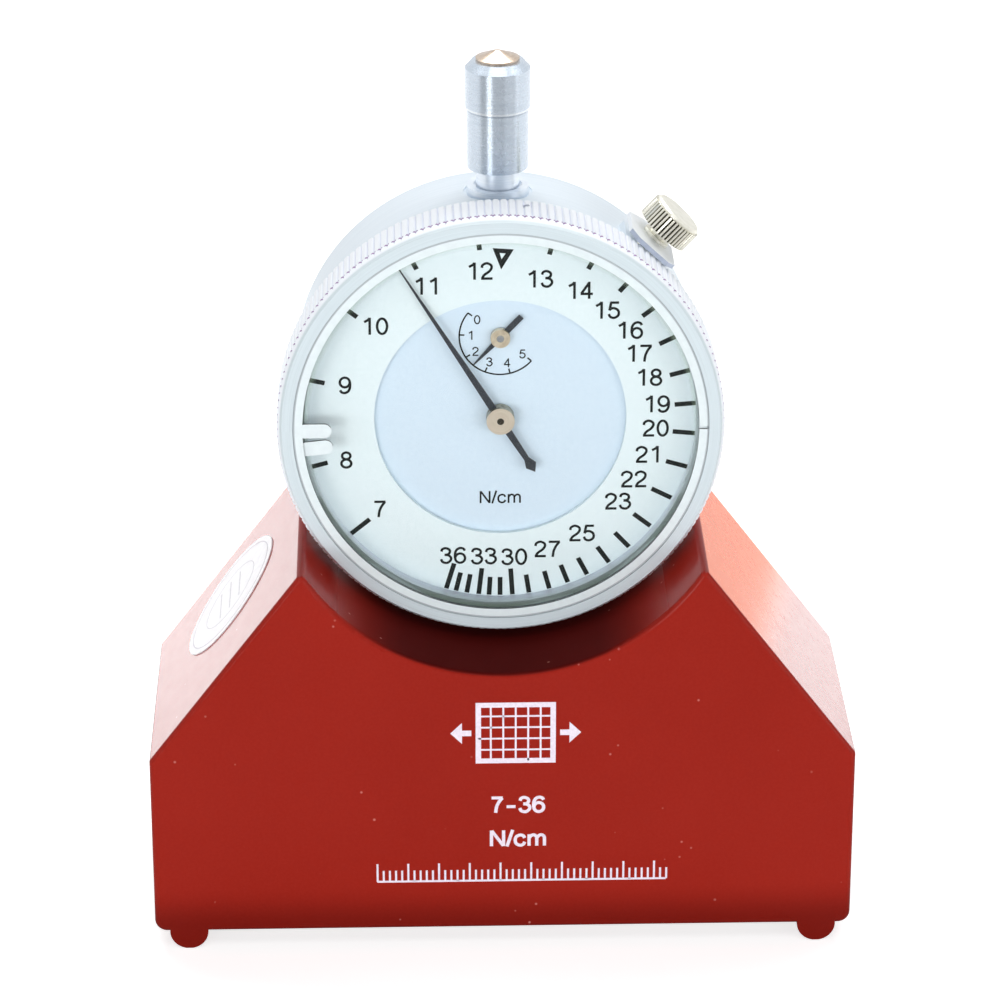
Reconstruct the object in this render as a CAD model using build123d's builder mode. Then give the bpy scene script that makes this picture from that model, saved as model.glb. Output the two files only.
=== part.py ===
"""Dial tension gauge for stretched mesh: a heavy block on two foot rails carries a dial indicator,
whose spring-loaded spindle presses a short measuring bar against the mesh between the rails."""

import os
from math import atan2, cos, degrees, hypot, pi, radians, sin, sqrt, tan

from build123d import *

# Lengths are in millimetres and angles in degrees. The origin is on the ground under the middle
# of the block. X points right, Y points away from the reader of the dial and Z points up.
# Inside the indicator, "ahead" is a distance towards the reader, from the spindle's axis.

# Cast block
block_width = 91.0
block_depth = 35.5
ground_clearance = 2.4
shoulder_height = 27.3
mouth_width = 51.0
trough_gap = 1.2
dial_height = 69.0
spindle_to_back = 8.8
block_edge_radius = 0.7
block_corner_radius = 1.6
pocket_width = 8.8
pocket_reach = 7.4
pocket_roof = 13.0

# Foot rails
rail_diameter = 5.0
rail_inset = 4.45
rail_land_width = 0.8

# Inspection label on the left slant
label_diameter = 18.6
label_thickness = 0.15
label_up_slant = 17.0
label_behind_middle = 3.7

# Dial case
wheel_gap = 2.58
case_wall = 2.8
case_back = 7.0
case_shoulder = 9.5
shoulder_step = 0.8
spigot_front = 12.2
ledge_width = 1.6
ledge_ahead = 2.5
spot_face_depth = 0.5
spot_face_margin = 0.4
screw_groove_depth = 0.5
screw_groove_width = 1.0
screw_groove_wall = 0.25

# Back cover
cover_lap = 2.2
cover_thickness = 1.5
cover_screw_inset = 1.1
cover_screw_count = 4
cover_screw_angle = 45.0

# Small screws of the movement and the back cover
small_screw_radius = 0.6
small_screw_head_radius = 1.0
small_screw_head_height = 0.6
small_screw_depth = 2.0
driver_slot_width = 0.3
driver_slot_depth = 0.3

# Stem and the screw that holds it
stem_radius = 4.0
stem_neck_radius = 3.5
stem_bottom = 14.0
stem_screw_radius = 2.0
stem_screw_height = 26.0
stem_screw_sunk = 0.4
stem_screw_socket = 2.0
stem_screw_socket_depth = 2.0

# Spindle
spindle_radius = 2.0
spindle_bottom = 8.6
spindle_thread_radius = 1.25
spindle_thread_length = 3.6
travel_down = 2.3
travel_up = 2.5

# Measuring bar under the spindle
bar_radius = 3.0
bar_length = 12.6
bar_boss_radius = 2.9
bar_end_chamfer = 0.5

# Upper bushing
bushing_flange_radius = 4.0
bushing_flange_height = 1.2
bushing_thread_radius = 3.0
bushing_neck_radius = 2.8
bushing_neck_length = 6.9
bushing_groove_width = 0.3
bushing_groove_depth = 0.25

# Lifting cap and the brass screw on top of it
cap_landing_gap = 0.15
cap_skirt_length = 7.9
cap_head_length = 5.3
cap_crown_height = 0.95
cap_roof = 5.2
cap_skirt_radius = 3.92
cap_head_radius = 4.16
cap_crown_radius = 3.3
cap_bore_clearance = 0.25
cone_radius = 2.8
cone_rim = 0.35
cone_height = 1.3
cone_tip_radius = 0.25
cap_screw_radius = 1.0
cap_screw_length = 9.0

# Gear train: the rack pitch and the tooth counts fix every gear's size
rack_pitch = 0.625
rack_pinion_teeth = 16
wheel_teeth = 100
centre_pinion_teeth = 10
rack_line = 1.5
rack_teeth = 17
addendum_share = 0.65
dedendum_share = 0.95
flank_angle = 20.0
tooth_thinning = 0.05
rack_pinion_width = 3.2
centre_pinion_back = 4.1
centre_pinion_width = 2.0
wheel_thickness = 0.5
rack_wheel_back = 4.4
counter_wheel_back = 5.3
arbor_radius = 0.6
pivot_radius = 0.3
pointer_arbor_radius = 0.45
end_shake = 0.05

# Movement plates
plate_clearance = 0.1
middle_plate_thickness = 1.0
middle_plate_screw_inset = 0.85
middle_plate_screw_count = 3
middle_plate_screw_head = 0.75
front_plate_back = 7.6
front_plate_thickness = 1.0
front_plate_radius = 17.6
pillar_radius = 1.3
side_pillar_x = 14.6
low_pillar_x = 11.0
low_pillar_z = -12.0
bridge_ahead = -3.4
bridge_thickness = 1.0
bridge_length = 9.0
bridge_height = 9.4
bridge_overhang = 1.6
bridge_pillar_inset = 1.7

# Guide pin, guide bracket and return spring
guide_pin_height = 6.5
guide_pin_radius = 0.6
guide_pin_seat = 1.0
guide_pin_reach = 8.3
guide_slot_clearance = 0.04
guide_slot_spare = 0.5
guide_bracket_near = 3.0
guide_bracket_width = 2.0
guide_bracket_back = 1.9
guide_bracket_wall = 1.4
spring_axis_x = 7.1
spring_radius = 1.0
spring_wire = 0.3
spring_pitch = 0.8
spring_turns = 26
spring_end_gap = 0.05
spring_post_radius = 0.6
spring_post_back = 1.7

# Hairspring on the counter arbor
hairspring_back = 6.4
hairspring_width = 0.7
hairspring_thickness = 0.14
hairspring_step = 0.36
hairspring_half_turns = 11
hairspring_clearance = 0.08
collet_radius = 1.0
stud_radius = 0.35

# Dial plate and scale ring
dial_plate_lap = 0.7
dial_plate_thickness = 0.5
dial_plate_ahead = 11.7
dial_hole_radius = 0.9
scale_ring_inner_radius = 16.1
scale_ring_back = 12.3
scale_ring_thickness = 0.6

# Pointers
pointer_back = 13.35
pointer_thickness = 0.25
pointer_tip_gap = 0.6
pointer_root_width = 1.0
pointer_tip_width = 0.14
pointer_eye_width = 0.35
pointer_tail = 8.5
pointer_tail_width = 0.7
pointer_tail_head_length = 2.1
pointer_tail_head_width = 1.5
pointer_rest_angle = 31.7
hub_radius = 1.8
hub_back = 12.45
hub_front = 14.1
small_pointer_back = 12.55
small_pointer_thickness = 0.2
small_pointer_length = 5.0
small_pointer_root_width = 0.75
small_pointer_tail = 3.9
small_pointer_rest_angle = 137.0
small_hub_radius = 1.25
small_hub_back = 12.35
small_hub_front = 13.1

# Bezel
bezel_wall = 2.9
bezel_back = 9.65
bezel_knurl_front = 15.65
bezel_front = 16.7
bezel_lip_step = 0.64
bezel_ledge_step = 0.6
bezel_recess_step = 0.35
bezel_running_clearance = 0.05
knurl_count = 180
knurl_depth = 0.25
knurl_groove_share = 0.46
bezel_screw_radius = 0.45
bezel_screw_count = 3
bezel_screw_angle = 83.4
bezel_screw_sunk = 0.5

# Crystal and limit rings
crystal_seat = 1.1
crystal_back = 14.85
crystal_thickness = 1.1
limit_ring_width = 1.2
limit_thickness = 0.3
limit_clearance = 0.03
limit_tab_width = 1.9
limit_tab_reach = 3.7
limit_upper_angle = 180.0
limit_upper_slit = 0.43
limit_lower_angle = 186.0
limit_lower_slit = 0.14

# Bezel clamp at the upper right
clamp_angle = 43.1
clamp_ahead = 4.7
clamp_pad_height = 0.8
clamp_pad_width = 6.4
clamp_pad_front = 3.8
clamp_pad_rear = 4.6
clamp_gap = 0.12
clamp_plate_thickness = 0.6
clamp_plate_left = 4.3
clamp_plate_right = 3.1
clamp_plate_front = 5.8
clamp_plate_rear = 3.7
clamp_front_corner = 1.2
clamp_rear_corner_length = 1.9
clamp_rear_corner_width = 2.6
clamp_leg_inset = 0.7
clamp_leg_length = 1.4
clamp_leg_width = 2.6
clamp_screw_radius = 1.25
clamp_screw_clearance = 0.06
clamp_screw_gap = 1.0
clamp_collar_radius = 1.9
clamp_collar_thickness = 0.4
clamp_neck_length = 0.9
clamp_knob_radius = 3.65
clamp_knob_length = 3.2
clamp_knob_rim = 0.5
clamp_knob_groove_count = 44
clamp_knob_groove_depth = 0.25
clamp_knob_groove_share = 0.5

# Shared by all cuts and fits
overrun = 1.0
running_clearance = 0.03
full_circle = 360.0
half_circle = 180.0
quarter_circle = 90.0

# Worked out from the sizes above
spindle_y = block_depth / 2 - spindle_to_back
module = rack_pitch / pi
rack_pinion_radius = rack_pinion_teeth * module / 2
wheel_radius = wheel_teeth * module / 2
centre_pinion_radius = centre_pinion_teeth * module / 2
gear_centres = wheel_radius + centre_pinion_radius
addendum = addendum_share * module
dedendum = dedendum_share * module
rack_arbor_x = -(rack_line + rack_pinion_radius)
rack_arbor_z = -sqrt(gear_centres**2 - rack_arbor_x**2)
front_cavity_radius = gear_centres + wheel_radius + addendum + wheel_gap
rear_cavity_radius = front_cavity_radius - ledge_width
case_radius = front_cavity_radius + case_wall
spigot_radius = case_radius - shoulder_step
screw_groove_front = spigot_front - screw_groove_wall
cover_radius = rear_cavity_radius + cover_lap
cover_screw_circle = rear_cavity_radius + cover_screw_inset
middle_plate_screw_circle = front_cavity_radius - middle_plate_screw_inset
dial_plate_radius = front_cavity_radius + dial_plate_lap
bezel_radius = spigot_radius + bezel_wall
bezel_ledge_radius = spigot_radius - bezel_ledge_step
crystal_radius = bezel_ledge_radius + crystal_seat
bezel_recess_radius = crystal_radius + bezel_recess_step
pointer_length = bezel_ledge_radius - pointer_tip_gap
trough_radius = bezel_radius + trough_gap
mouth_half = mouth_width / 2
mouth_height = dial_height - sqrt(trough_radius**2 - mouth_half**2)
rail_radius = rail_diameter / 2
rail_x = block_width / 2 - rail_inset
rail_axis_height = sqrt(rail_radius**2 - (rail_land_width / 2) ** 2)
spot_face_radius = stem_radius + spot_face_margin
spot_face_distance = case_radius - spot_face_depth
flange_seat = dial_height + spot_face_distance
flange_top = flange_seat + bushing_flange_height
cap_bottom = flange_top + travel_down + cap_landing_gap
cap_step = cap_bottom + cap_skirt_length
cap_crown_start = cap_step + cap_head_length
cap_top = cap_crown_start + cap_crown_height
spindle_top = cap_top - cap_roof
middle_plate_front = ledge_ahead + middle_plate_thickness
front_plate_front = front_plate_back + front_plate_thickness
bore_radius = spindle_radius + running_clearance
crystal_front = crystal_back + crystal_thickness
limit_outer_radius = bezel_recess_radius - bezel_running_clearance
limit_inner_radius = limit_outer_radius - limit_ring_width
limit_lower_back = crystal_front + limit_clearance
limit_upper_back = limit_lower_back + limit_thickness + limit_clearance
clamp_plate_under = bezel_radius + clamp_gap
clamp_plate_over = clamp_plate_under + clamp_plate_thickness
clamp_pad_radius = case_radius + clamp_pad_height
clamp_screw_end = front_cavity_radius + clamp_screw_gap
spring_top = guide_pin_height - guide_pin_radius - spring_end_gap - spring_wire / 2
spring_foot = spring_top - spring_turns * spring_pitch
spring_post_z = spring_foot - spring_wire / 2 - spring_end_gap - spring_post_radius
hairspring_start = collet_radius + hairspring_clearance + hairspring_thickness / 2

os.makedirs("parts", exist_ok=True)


def save(piece, name):
    """Label a finished piece and write its file."""
    piece.part.label = name
    export_step(piece.part, f"parts/{name}.step")


def dial(ahead, x=0, z=0, turn=0):
    """A plane that faces the reader, at x, z from the dial's centre, turned anticlockwise."""
    across = (cos(radians(turn)), 0, sin(radians(turn)))
    return Plane(origin=(x, spindle_y - ahead, dial_height + z), x_dir=across, z_dir=(0, -1, 0))


def rear(behind, x, z):
    """A plane that faces away from the reader, at a distance behind the spindle's axis."""
    return Plane(origin=(x, spindle_y + behind, dial_height + z), x_dir=(1, 0, 0), z_dir=(0, 1, 0))


def upright(height):
    """A level plane on the spindle's axis."""
    return Plane(origin=(0, spindle_y, height))


def clamp(distance):
    """A plane square to the clamp screw, at a distance from the dial's axis."""
    across, out = cos(radians(clamp_angle)), sin(radians(clamp_angle))
    origin = (out * distance, spindle_y - clamp_ahead, dial_height + across * distance)
    return Plane(origin=origin, x_dir=(across, 0, -out), z_dir=(out, 0, across))


def disc(plane, radius, length, inner=0, mode=Mode.ADD):
    """A disc or a ring that grows from a plane along its normal."""
    with BuildSketch(plane, mode=Mode.PRIVATE) as face:
        Circle(radius)
        if inner:
            Circle(inner, mode=Mode.SUBTRACT)
    return extrude(face.sketch, amount=length, mode=mode)


def polar(radius, angle):
    return radius * cos(radians(angle)), radius * sin(radians(angle))


def toothed_points(teeth, phase):
    """Corners of a gear's outline with straight flanks and one tooth centred on the phase angle."""
    pitch_radius = teeth * module / 2
    tip = pitch_radius + addendum
    root = pitch_radius - dedendum
    half_pitch_tooth = rack_pitch / 4 - tooth_thinning / 2
    half_tip = half_pitch_tooth - addendum * tan(radians(flank_angle))
    half_root = half_pitch_tooth + dedendum * tan(radians(flank_angle))
    points = []
    for tooth in range(teeth):
        middle = phase + full_circle * tooth / teeth
        for radius, half in ((root, -half_root), (tip, -half_tip), (tip, half_tip), (root, half_root)):
            points.append(polar(radius, middle + degrees(half / pitch_radius)))
    return points


def grooved_points(radius, count, depth, groove_share):
    """Corners of a round outline with V grooves along its rim."""
    step = full_circle / count
    points = []
    for groove in range(count):
        middle = groove * step
        points.append(polar(radius - depth, middle))
        points.append(polar(radius, middle + step * groove_share / 2))
        points.append(polar(radius, middle + step * (1 - groove_share / 2)))
    return points


def outline(points):
    """A filled outline through the given corners."""
    Polygon(*points, align=None)


def slotted_screw(plane, head_radius, shank_radius, shank_length):
    """A cheese-head screw whose head stands on the plane."""
    disc(plane, head_radius, small_screw_head_height)
    disc(plane, shank_radius, -shank_length)
    with BuildSketch(plane.offset(small_screw_head_height), mode=Mode.PRIVATE) as slot:
        Rectangle(2 * head_radius + overrun, driver_slot_width)
    extrude(slot.sketch, amount=-driver_slot_depth, mode=Mode.SUBTRACT)


# Base: the cast block with its trough, grooves, pocket and bores

with BuildPart() as base_block:
    with BuildSketch(Plane.XZ.offset(block_depth / 2)):
        outline([
            (-block_width / 2, ground_clearance),
            (block_width / 2, ground_clearance),
            (block_width / 2, shoulder_height),
            (mouth_half, mouth_height),
            (-mouth_half, mouth_height),
            (-block_width / 2, shoulder_height),
        ])
        with Locations((0, dial_height)):
            Circle(trough_radius, mode=Mode.SUBTRACT)
    extrude(amount=-block_depth)
    long_edges = base_block.edges().filter_by(Axis.Y)
    fillet(long_edges.group_by(Axis.Z)[0], radius=block_corner_radius)
    fillet(base_block.edges().filter_by(Axis.Y).filter_by(
        lambda edge: edge.center().Z > shoulder_height - block_edge_radius), radius=block_edge_radius)
    ends = base_block.faces().filter_by(Axis.Y)
    fillet(ends.sort_by(Axis.Y)[0].edges() + ends.sort_by(Axis.Y)[-1].edges(), radius=block_edge_radius)
    # round grooves for the foot rails
    with BuildSketch(Plane.XZ.offset(block_depth / 2 + overrun)):
        with Locations((-rail_x, rail_axis_height), (rail_x, rail_axis_height)):
            Circle(rail_radius)
    extrude(amount=-(block_depth + 2 * overrun), mode=Mode.SUBTRACT)
    # pocket for the measuring bar, open underneath and at the back
    pocket_length = pocket_reach + spindle_to_back + overrun
    with BuildSketch(Plane.XY.offset(ground_clearance - overrun)):
        with Locations((0, spindle_y - pocket_reach)):
            Rectangle(pocket_width, pocket_length, align=(Align.CENTER, Align.MIN))
    extrude(amount=pocket_roof - ground_clearance + overrun, mode=Mode.SUBTRACT)
    # bore for the stem
    disc(upright(pocket_roof - overrun), stem_radius, dial_height - pocket_roof, mode=Mode.SUBTRACT)
    # threaded hole for the stem screw, from the back
    with BuildSketch(Plane.XZ.offset(-block_depth / 2 - overrun)):
        with Locations((0, stem_screw_height)):
            Circle(stem_screw_radius)
    extrude(amount=spindle_to_back + overrun, mode=Mode.SUBTRACT)
save(base_block, "base_block")

for side, rail_name in ((-1, "foot_rail_left"), (1, "foot_rail_right")):
    with BuildPart() as foot_rail:
        with BuildSketch(Plane.XZ.offset(block_depth / 2)):
            with Locations((side * rail_x, rail_axis_height)):
                Circle(rail_radius)
            with Locations((side * rail_x, 0)):
                Rectangle(rail_diameter, rail_diameter, align=(Align.CENTER, Align.MAX), mode=Mode.SUBTRACT)
        extrude(amount=-block_depth)
    save(foot_rail, rail_name)

slant_run = block_width / 2 - mouth_half
slant_rise = mouth_height - shoulder_height
slant_length = hypot(slant_run, slant_rise)
label_x = -block_width / 2 + slant_run * label_up_slant / slant_length
label_z = shoulder_height + slant_rise * label_up_slant / slant_length
label_plane = Plane(
    origin=(label_x, label_behind_middle, label_z),
    x_dir=(slant_run, 0, slant_rise),
    z_dir=(-slant_rise, 0, slant_run),
)
with BuildPart() as inspection_label:
    disc(label_plane, label_diameter / 2, label_thickness)
save(inspection_label, "inspection_label")

stem_screw_length = spindle_to_back - stem_radius - stem_screw_sunk
with BuildPart() as stem_clamp_screw:
    with BuildSketch(Plane.XZ.offset(stem_screw_sunk - block_depth / 2)):
        with Locations((0, stem_screw_height)):
            Circle(stem_screw_radius)
    extrude(amount=stem_screw_length)
    with BuildSketch(Plane.XZ.offset(stem_screw_sunk - block_depth / 2)):
        with Locations((0, stem_screw_height)):
            RegularPolygon(stem_screw_socket / 2, 6, major_radius=False)
    extrude(amount=stem_screw_socket_depth, mode=Mode.SUBTRACT)
save(stem_clamp_screw, "stem_clamp_screw")

# Indicator body: case, stem, upper bushing and back cover

cover_back = case_back - cover_thickness
with BuildPart() as dial_case:
    disc(dial(-case_back), case_radius, case_back + case_shoulder)
    disc(dial(case_shoulder), spigot_radius, spigot_front - case_shoulder)
    # pad for the bezel clamp
    with BuildSketch(clamp(clamp_pad_radius)):
        with Locations((0, -clamp_pad_front)):
            Rectangle(clamp_pad_width, clamp_pad_front + clamp_pad_rear, align=(Align.CENTER, Align.MIN))
    extrude(amount=-(clamp_pad_radius - front_cavity_radius))
    disc(dial(-case_back - overrun), rear_cavity_radius, case_back + ledge_ahead + overrun,
         mode=Mode.SUBTRACT)
    disc(dial(ledge_ahead), front_cavity_radius, case_radius, mode=Mode.SUBTRACT)
    # seats for the back cover and the dial plate
    disc(dial(-case_back - overrun), cover_radius, cover_thickness + overrun, mode=Mode.SUBTRACT)
    seat_radius = dial_plate_radius + running_clearance
    disc(dial(dial_plate_ahead), seat_radius, case_radius, mode=Mode.SUBTRACT)
    # groove that the bezel's screws run in
    disc(
        dial(screw_groove_front), case_radius, -screw_groove_width,
        inner=spigot_radius - screw_groove_depth, mode=Mode.SUBTRACT,
    )
    # flats and holes for the upper bushing and the stem
    disc(upright(dial_height + spot_face_distance), spot_face_radius, case_radius, mode=Mode.SUBTRACT)
    disc(upright(dial_height - spot_face_distance), spot_face_radius, -case_radius, mode=Mode.SUBTRACT)
    disc(upright(dial_height), bushing_thread_radius, case_radius, mode=Mode.SUBTRACT)
    disc(upright(dial_height), stem_neck_radius, -case_radius, mode=Mode.SUBTRACT)
    # holes for the clamp screw, the plate screws and the cover screws
    disc(clamp(front_cavity_radius - overrun), clamp_screw_radius + clamp_screw_clearance,
         case_radius, mode=Mode.SUBTRACT)
    with BuildSketch(dial(ledge_ahead)):
        with PolarLocations(middle_plate_screw_circle, middle_plate_screw_count):
            Circle(small_screw_radius)
    extrude(amount=-small_screw_depth, mode=Mode.SUBTRACT)
    with BuildSketch(dial(-cover_back)):
        with PolarLocations(cover_screw_circle, cover_screw_count, cover_screw_angle):
            Circle(small_screw_radius)
    extrude(amount=small_screw_depth, mode=Mode.SUBTRACT)
save(dial_case, "dial_case")

with BuildPart() as back_cover:
    disc(dial(-case_back), cover_radius, cover_thickness)
    with BuildSketch(dial(-case_back)):
        with PolarLocations(cover_screw_circle, cover_screw_count, cover_screw_angle):
            Circle(small_screw_radius)
    extrude(amount=cover_thickness, mode=Mode.SUBTRACT)
save(back_cover, "back_cover")

with BuildPart() as back_cover_screws:
    for index in range(cover_screw_count):
        x, z = polar(cover_screw_circle, cover_screw_angle + full_circle * index / cover_screw_count)
        slotted_screw(rear(case_back, x, z), small_screw_head_radius, small_screw_radius,
                      cover_thickness + small_screw_depth)
save(back_cover_screws, "back_cover_screws")

with BuildPart() as stem:
    stem_shoulder = dial_height - spot_face_distance
    disc(upright(stem_bottom), stem_radius, stem_shoulder - stem_bottom)
    disc(upright(stem_shoulder), stem_neck_radius, spot_face_distance - front_cavity_radius)
    disc(upright(0), bore_radius, dial_height, mode=Mode.SUBTRACT)
save(stem, "stem")

with BuildPart() as upper_bushing:
    disc(upright(flange_seat), bushing_thread_radius, front_cavity_radius - spot_face_distance)
    disc(upright(flange_seat), bushing_flange_radius, bushing_flange_height)
    disc(upright(flange_top - bushing_groove_depth), bushing_neck_radius + bushing_groove_width,
         bushing_groove_depth, mode=Mode.SUBTRACT)
    disc(upright(flange_top - bushing_groove_depth), bushing_neck_radius,
         bushing_neck_length + bushing_groove_depth)
    disc(upright(dial_height), bore_radius, dial_height, mode=Mode.SUBTRACT)
save(upper_bushing, "upper_bushing")

# Spindle group: spindle with its rack, guide pin, cap, cap screw and measuring bar

rack_middle = dial_height + rack_arbor_z
with BuildPart() as spindle:
    disc(upright(spindle_bottom), spindle_radius, spindle_top - spindle_bottom)
    disc(upright(spindle_bottom - spindle_thread_length), spindle_thread_radius, spindle_thread_length)
    # the rack: a flat with one gap opposite the middle of the rack pinion
    flat_x = rack_line + addendum
    half_gap_tip = rack_pitch / 4 + tooth_thinning / 2 + addendum * tan(radians(flank_angle))
    half_gap_root = rack_pitch / 4 + tooth_thinning / 2 - dedendum * tan(radians(flank_angle))
    with BuildSketch(Plane.XZ.offset(spindle_radius - spindle_y)):
        with Locations((-flat_x, rack_middle)):
            Rectangle(spindle_radius, rack_teeth * rack_pitch, align=(Align.MAX, Align.CENTER))
        for index in range(rack_teeth):
            gap = rack_middle + (index - rack_teeth // 2) * rack_pitch
            outline([
                (-flat_x, gap - half_gap_tip),
                (-rack_line + dedendum, gap - half_gap_root),
                (-rack_line + dedendum, gap + half_gap_root),
                (-flat_x, gap + half_gap_tip),
            ])
    extrude(amount=-2 * spindle_radius, mode=Mode.SUBTRACT)
    # holes for the cap screw and the guide pin
    cap_screw_hole = cap_screw_length - cap_roof
    disc(upright(spindle_top), cap_screw_radius, -cap_screw_hole, mode=Mode.SUBTRACT)
    with BuildSketch(Plane.YZ.offset(guide_pin_seat)):
        with Locations((spindle_y, dial_height + guide_pin_height)):
            Circle(guide_pin_radius)
    extrude(amount=spindle_radius, mode=Mode.SUBTRACT)
save(spindle, "spindle")

with BuildPart() as guide_pin:
    with BuildSketch(Plane.YZ.offset(guide_pin_seat)):
        with Locations((spindle_y, dial_height + guide_pin_height)):
            Circle(guide_pin_radius)
    extrude(amount=guide_pin_reach - guide_pin_seat)
save(guide_pin, "guide_pin")

cap_bore_radius = bushing_neck_radius + cap_bore_clearance
with BuildPart() as lifting_cap:
    disc(upright(cap_bottom), cap_skirt_radius, cap_step - cap_bottom)
    disc(upright(cap_step), cap_head_radius, cap_crown_start - cap_step)
    crown_taper = degrees(atan2(cap_head_radius - cap_crown_radius, cap_top - cap_crown_start))
    with BuildSketch(upright(cap_crown_start)):
        Circle(cap_head_radius)
    extrude(amount=cap_top - cap_crown_start, taper=crown_taper)
    disc(upright(cap_bottom), cap_bore_radius, spindle_top - cap_bottom, mode=Mode.SUBTRACT)
    disc(upright(spindle_top), cap_screw_radius, cap_top - spindle_top, mode=Mode.SUBTRACT)
save(lifting_cap, "lifting_cap")

with BuildPart() as cap_screw:
    disc(upright(cap_top), cone_radius, cone_rim)
    with BuildSketch(upright(cap_top + cone_rim)):
        Circle(cone_radius)
    with BuildSketch(upright(cap_top + cone_height)):
        Circle(cone_tip_radius)
    loft()
    disc(upright(cap_top), cap_screw_radius, -cap_screw_length)
save(cap_screw, "cap_screw")

with BuildPart() as measuring_bar:
    with BuildSketch(Plane.XZ.offset(bar_length / 2 - spindle_y)):
        with Locations((0, bar_radius)):
            Circle(bar_radius)
    extrude(amount=-bar_length)
    chamfer(measuring_bar.edges().filter_by(GeomType.CIRCLE), length=bar_end_chamfer)
    disc(upright(bar_radius), bar_boss_radius, spindle_bottom - bar_radius)
    disc(upright(spindle_bottom), spindle_thread_radius, -spindle_thread_length, mode=Mode.SUBTRACT)
save(measuring_bar, "measuring_bar")

# Movement: plates, pillars, screws, guide bracket, spring and spring post

pillar_places = [(-side_pillar_x, 0), (side_pillar_x, 0), (low_pillar_x, low_pillar_z)]
arbor_places = [(0, 0), (rack_arbor_x, rack_arbor_z), (0, gear_centres)]
middle_plate_radius = front_cavity_radius - plate_clearance
with BuildPart() as middle_plate:
    with BuildSketch(dial(ledge_ahead)):
        Circle(middle_plate_radius)
        with PolarLocations(middle_plate_screw_circle, middle_plate_screw_count):
            Circle(small_screw_radius, mode=Mode.SUBTRACT)
        with Locations(arbor_places[0], arbor_places[2]):
            Circle(pivot_radius + running_clearance, mode=Mode.SUBTRACT)
        with Locations(arbor_places[1]):
            Circle(arbor_radius + running_clearance, mode=Mode.SUBTRACT)
    extrude(amount=middle_plate_thickness)
save(middle_plate, "middle_plate")

with BuildPart() as plate_screws:
    for index in range(middle_plate_screw_count):
        x, z = polar(middle_plate_screw_circle, full_circle * index / middle_plate_screw_count)
        slotted_screw(dial(middle_plate_front, x, z), middle_plate_screw_head,
                      small_screw_radius, middle_plate_thickness + small_screw_depth)
save(plate_screws, "plate_screws")

pillar_length = front_plate_back - middle_plate_front
with BuildPart() as plate_pillars:
    with BuildSketch(dial(middle_plate_front)):
        with Locations(pillar_places):
            Circle(pillar_radius)
    extrude(amount=pillar_length)
    with BuildSketch(dial(front_plate_back)):
        with Locations(pillar_places):
            Circle(small_screw_radius)
    extrude(amount=-small_screw_depth, mode=Mode.SUBTRACT)
save(plate_pillars, "plate_pillars")

with BuildPart() as front_plate:
    with BuildSketch(dial(front_plate_back)):
        Circle(front_plate_radius)
        with Locations(pillar_places):
            Circle(small_screw_radius, mode=Mode.SUBTRACT)
        with Locations(arbor_places[0], arbor_places[2]):
            Circle(pointer_arbor_radius + running_clearance, mode=Mode.SUBTRACT)
        with Locations(arbor_places[1]):
            Circle(pivot_radius + running_clearance, mode=Mode.SUBTRACT)
    extrude(amount=front_plate_thickness)
save(front_plate, "front_plate")

with BuildPart() as front_plate_screws:
    for x, z in pillar_places:
        slotted_screw(dial(front_plate_front, x, z), small_screw_head_radius,
                      small_screw_radius, front_plate_thickness + small_screw_depth)
save(front_plate_screws, "front_plate_screws")

bridge_right = rack_arbor_x + bridge_overhang
bridge_pillar_x = bridge_right - bridge_length + bridge_pillar_inset
bridge_pillar_rise = bridge_height / 2 - bridge_pillar_inset
bridge_places = [
    (bridge_pillar_x, rack_arbor_z - bridge_pillar_rise),
    (bridge_pillar_x, rack_arbor_z + bridge_pillar_rise),
]
with BuildPart() as rear_bridge:
    with BuildSketch(dial(bridge_ahead)):
        with Locations((bridge_right, rack_arbor_z)):
            Rectangle(bridge_length, bridge_height, align=(Align.MAX, Align.CENTER))
        with Locations(bridge_places):
            Circle(small_screw_radius, mode=Mode.SUBTRACT)
        with Locations(arbor_places[1]):
            Circle(pivot_radius + running_clearance, mode=Mode.SUBTRACT)
    extrude(amount=-bridge_thickness)
save(rear_bridge, "rear_bridge")

with BuildPart() as bridge_pillars:
    with BuildSketch(dial(bridge_ahead)):
        with Locations(bridge_places):
            Circle(pillar_radius)
    extrude(amount=ledge_ahead - bridge_ahead)
    with BuildSketch(dial(bridge_ahead)):
        with Locations(bridge_places):
            Circle(small_screw_radius)
    extrude(amount=small_screw_depth, mode=Mode.SUBTRACT)
save(bridge_pillars, "bridge_pillars")

with BuildPart() as bridge_screws:
    for x, z in bridge_places:
        slotted_screw(rear(bridge_thickness - bridge_ahead, x, z), small_screw_head_radius,
                      small_screw_radius, bridge_thickness + small_screw_depth)
save(bridge_screws, "bridge_screws")

slot_half = guide_pin_radius + guide_slot_clearance
slot_bottom = guide_pin_height - travel_down - guide_pin_radius - guide_slot_spare
slot_top = guide_pin_height + travel_up + guide_pin_radius + guide_slot_spare
with BuildPart() as guide_bracket:
    with BuildSketch(Plane.YZ.offset(guide_bracket_near)):
        with Locations((spindle_y - ledge_ahead, dial_height + slot_bottom - guide_bracket_wall)):
            Rectangle(ledge_ahead + guide_bracket_back, slot_top - slot_bottom + 2 * guide_bracket_wall,
                      align=(Align.MIN, Align.MIN))
        with Locations((spindle_y, dial_height + (slot_top + slot_bottom) / 2)):
            Rectangle(2 * slot_half, slot_top - slot_bottom, mode=Mode.SUBTRACT)
    extrude(amount=guide_bracket_width)
save(guide_bracket, "guide_bracket")

with BuildPart() as spring_post:
    disc(dial(ledge_ahead, spring_axis_x, spring_post_z), spring_post_radius,
         -(ledge_ahead + spring_post_back))
save(spring_post, "spring_post")

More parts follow.
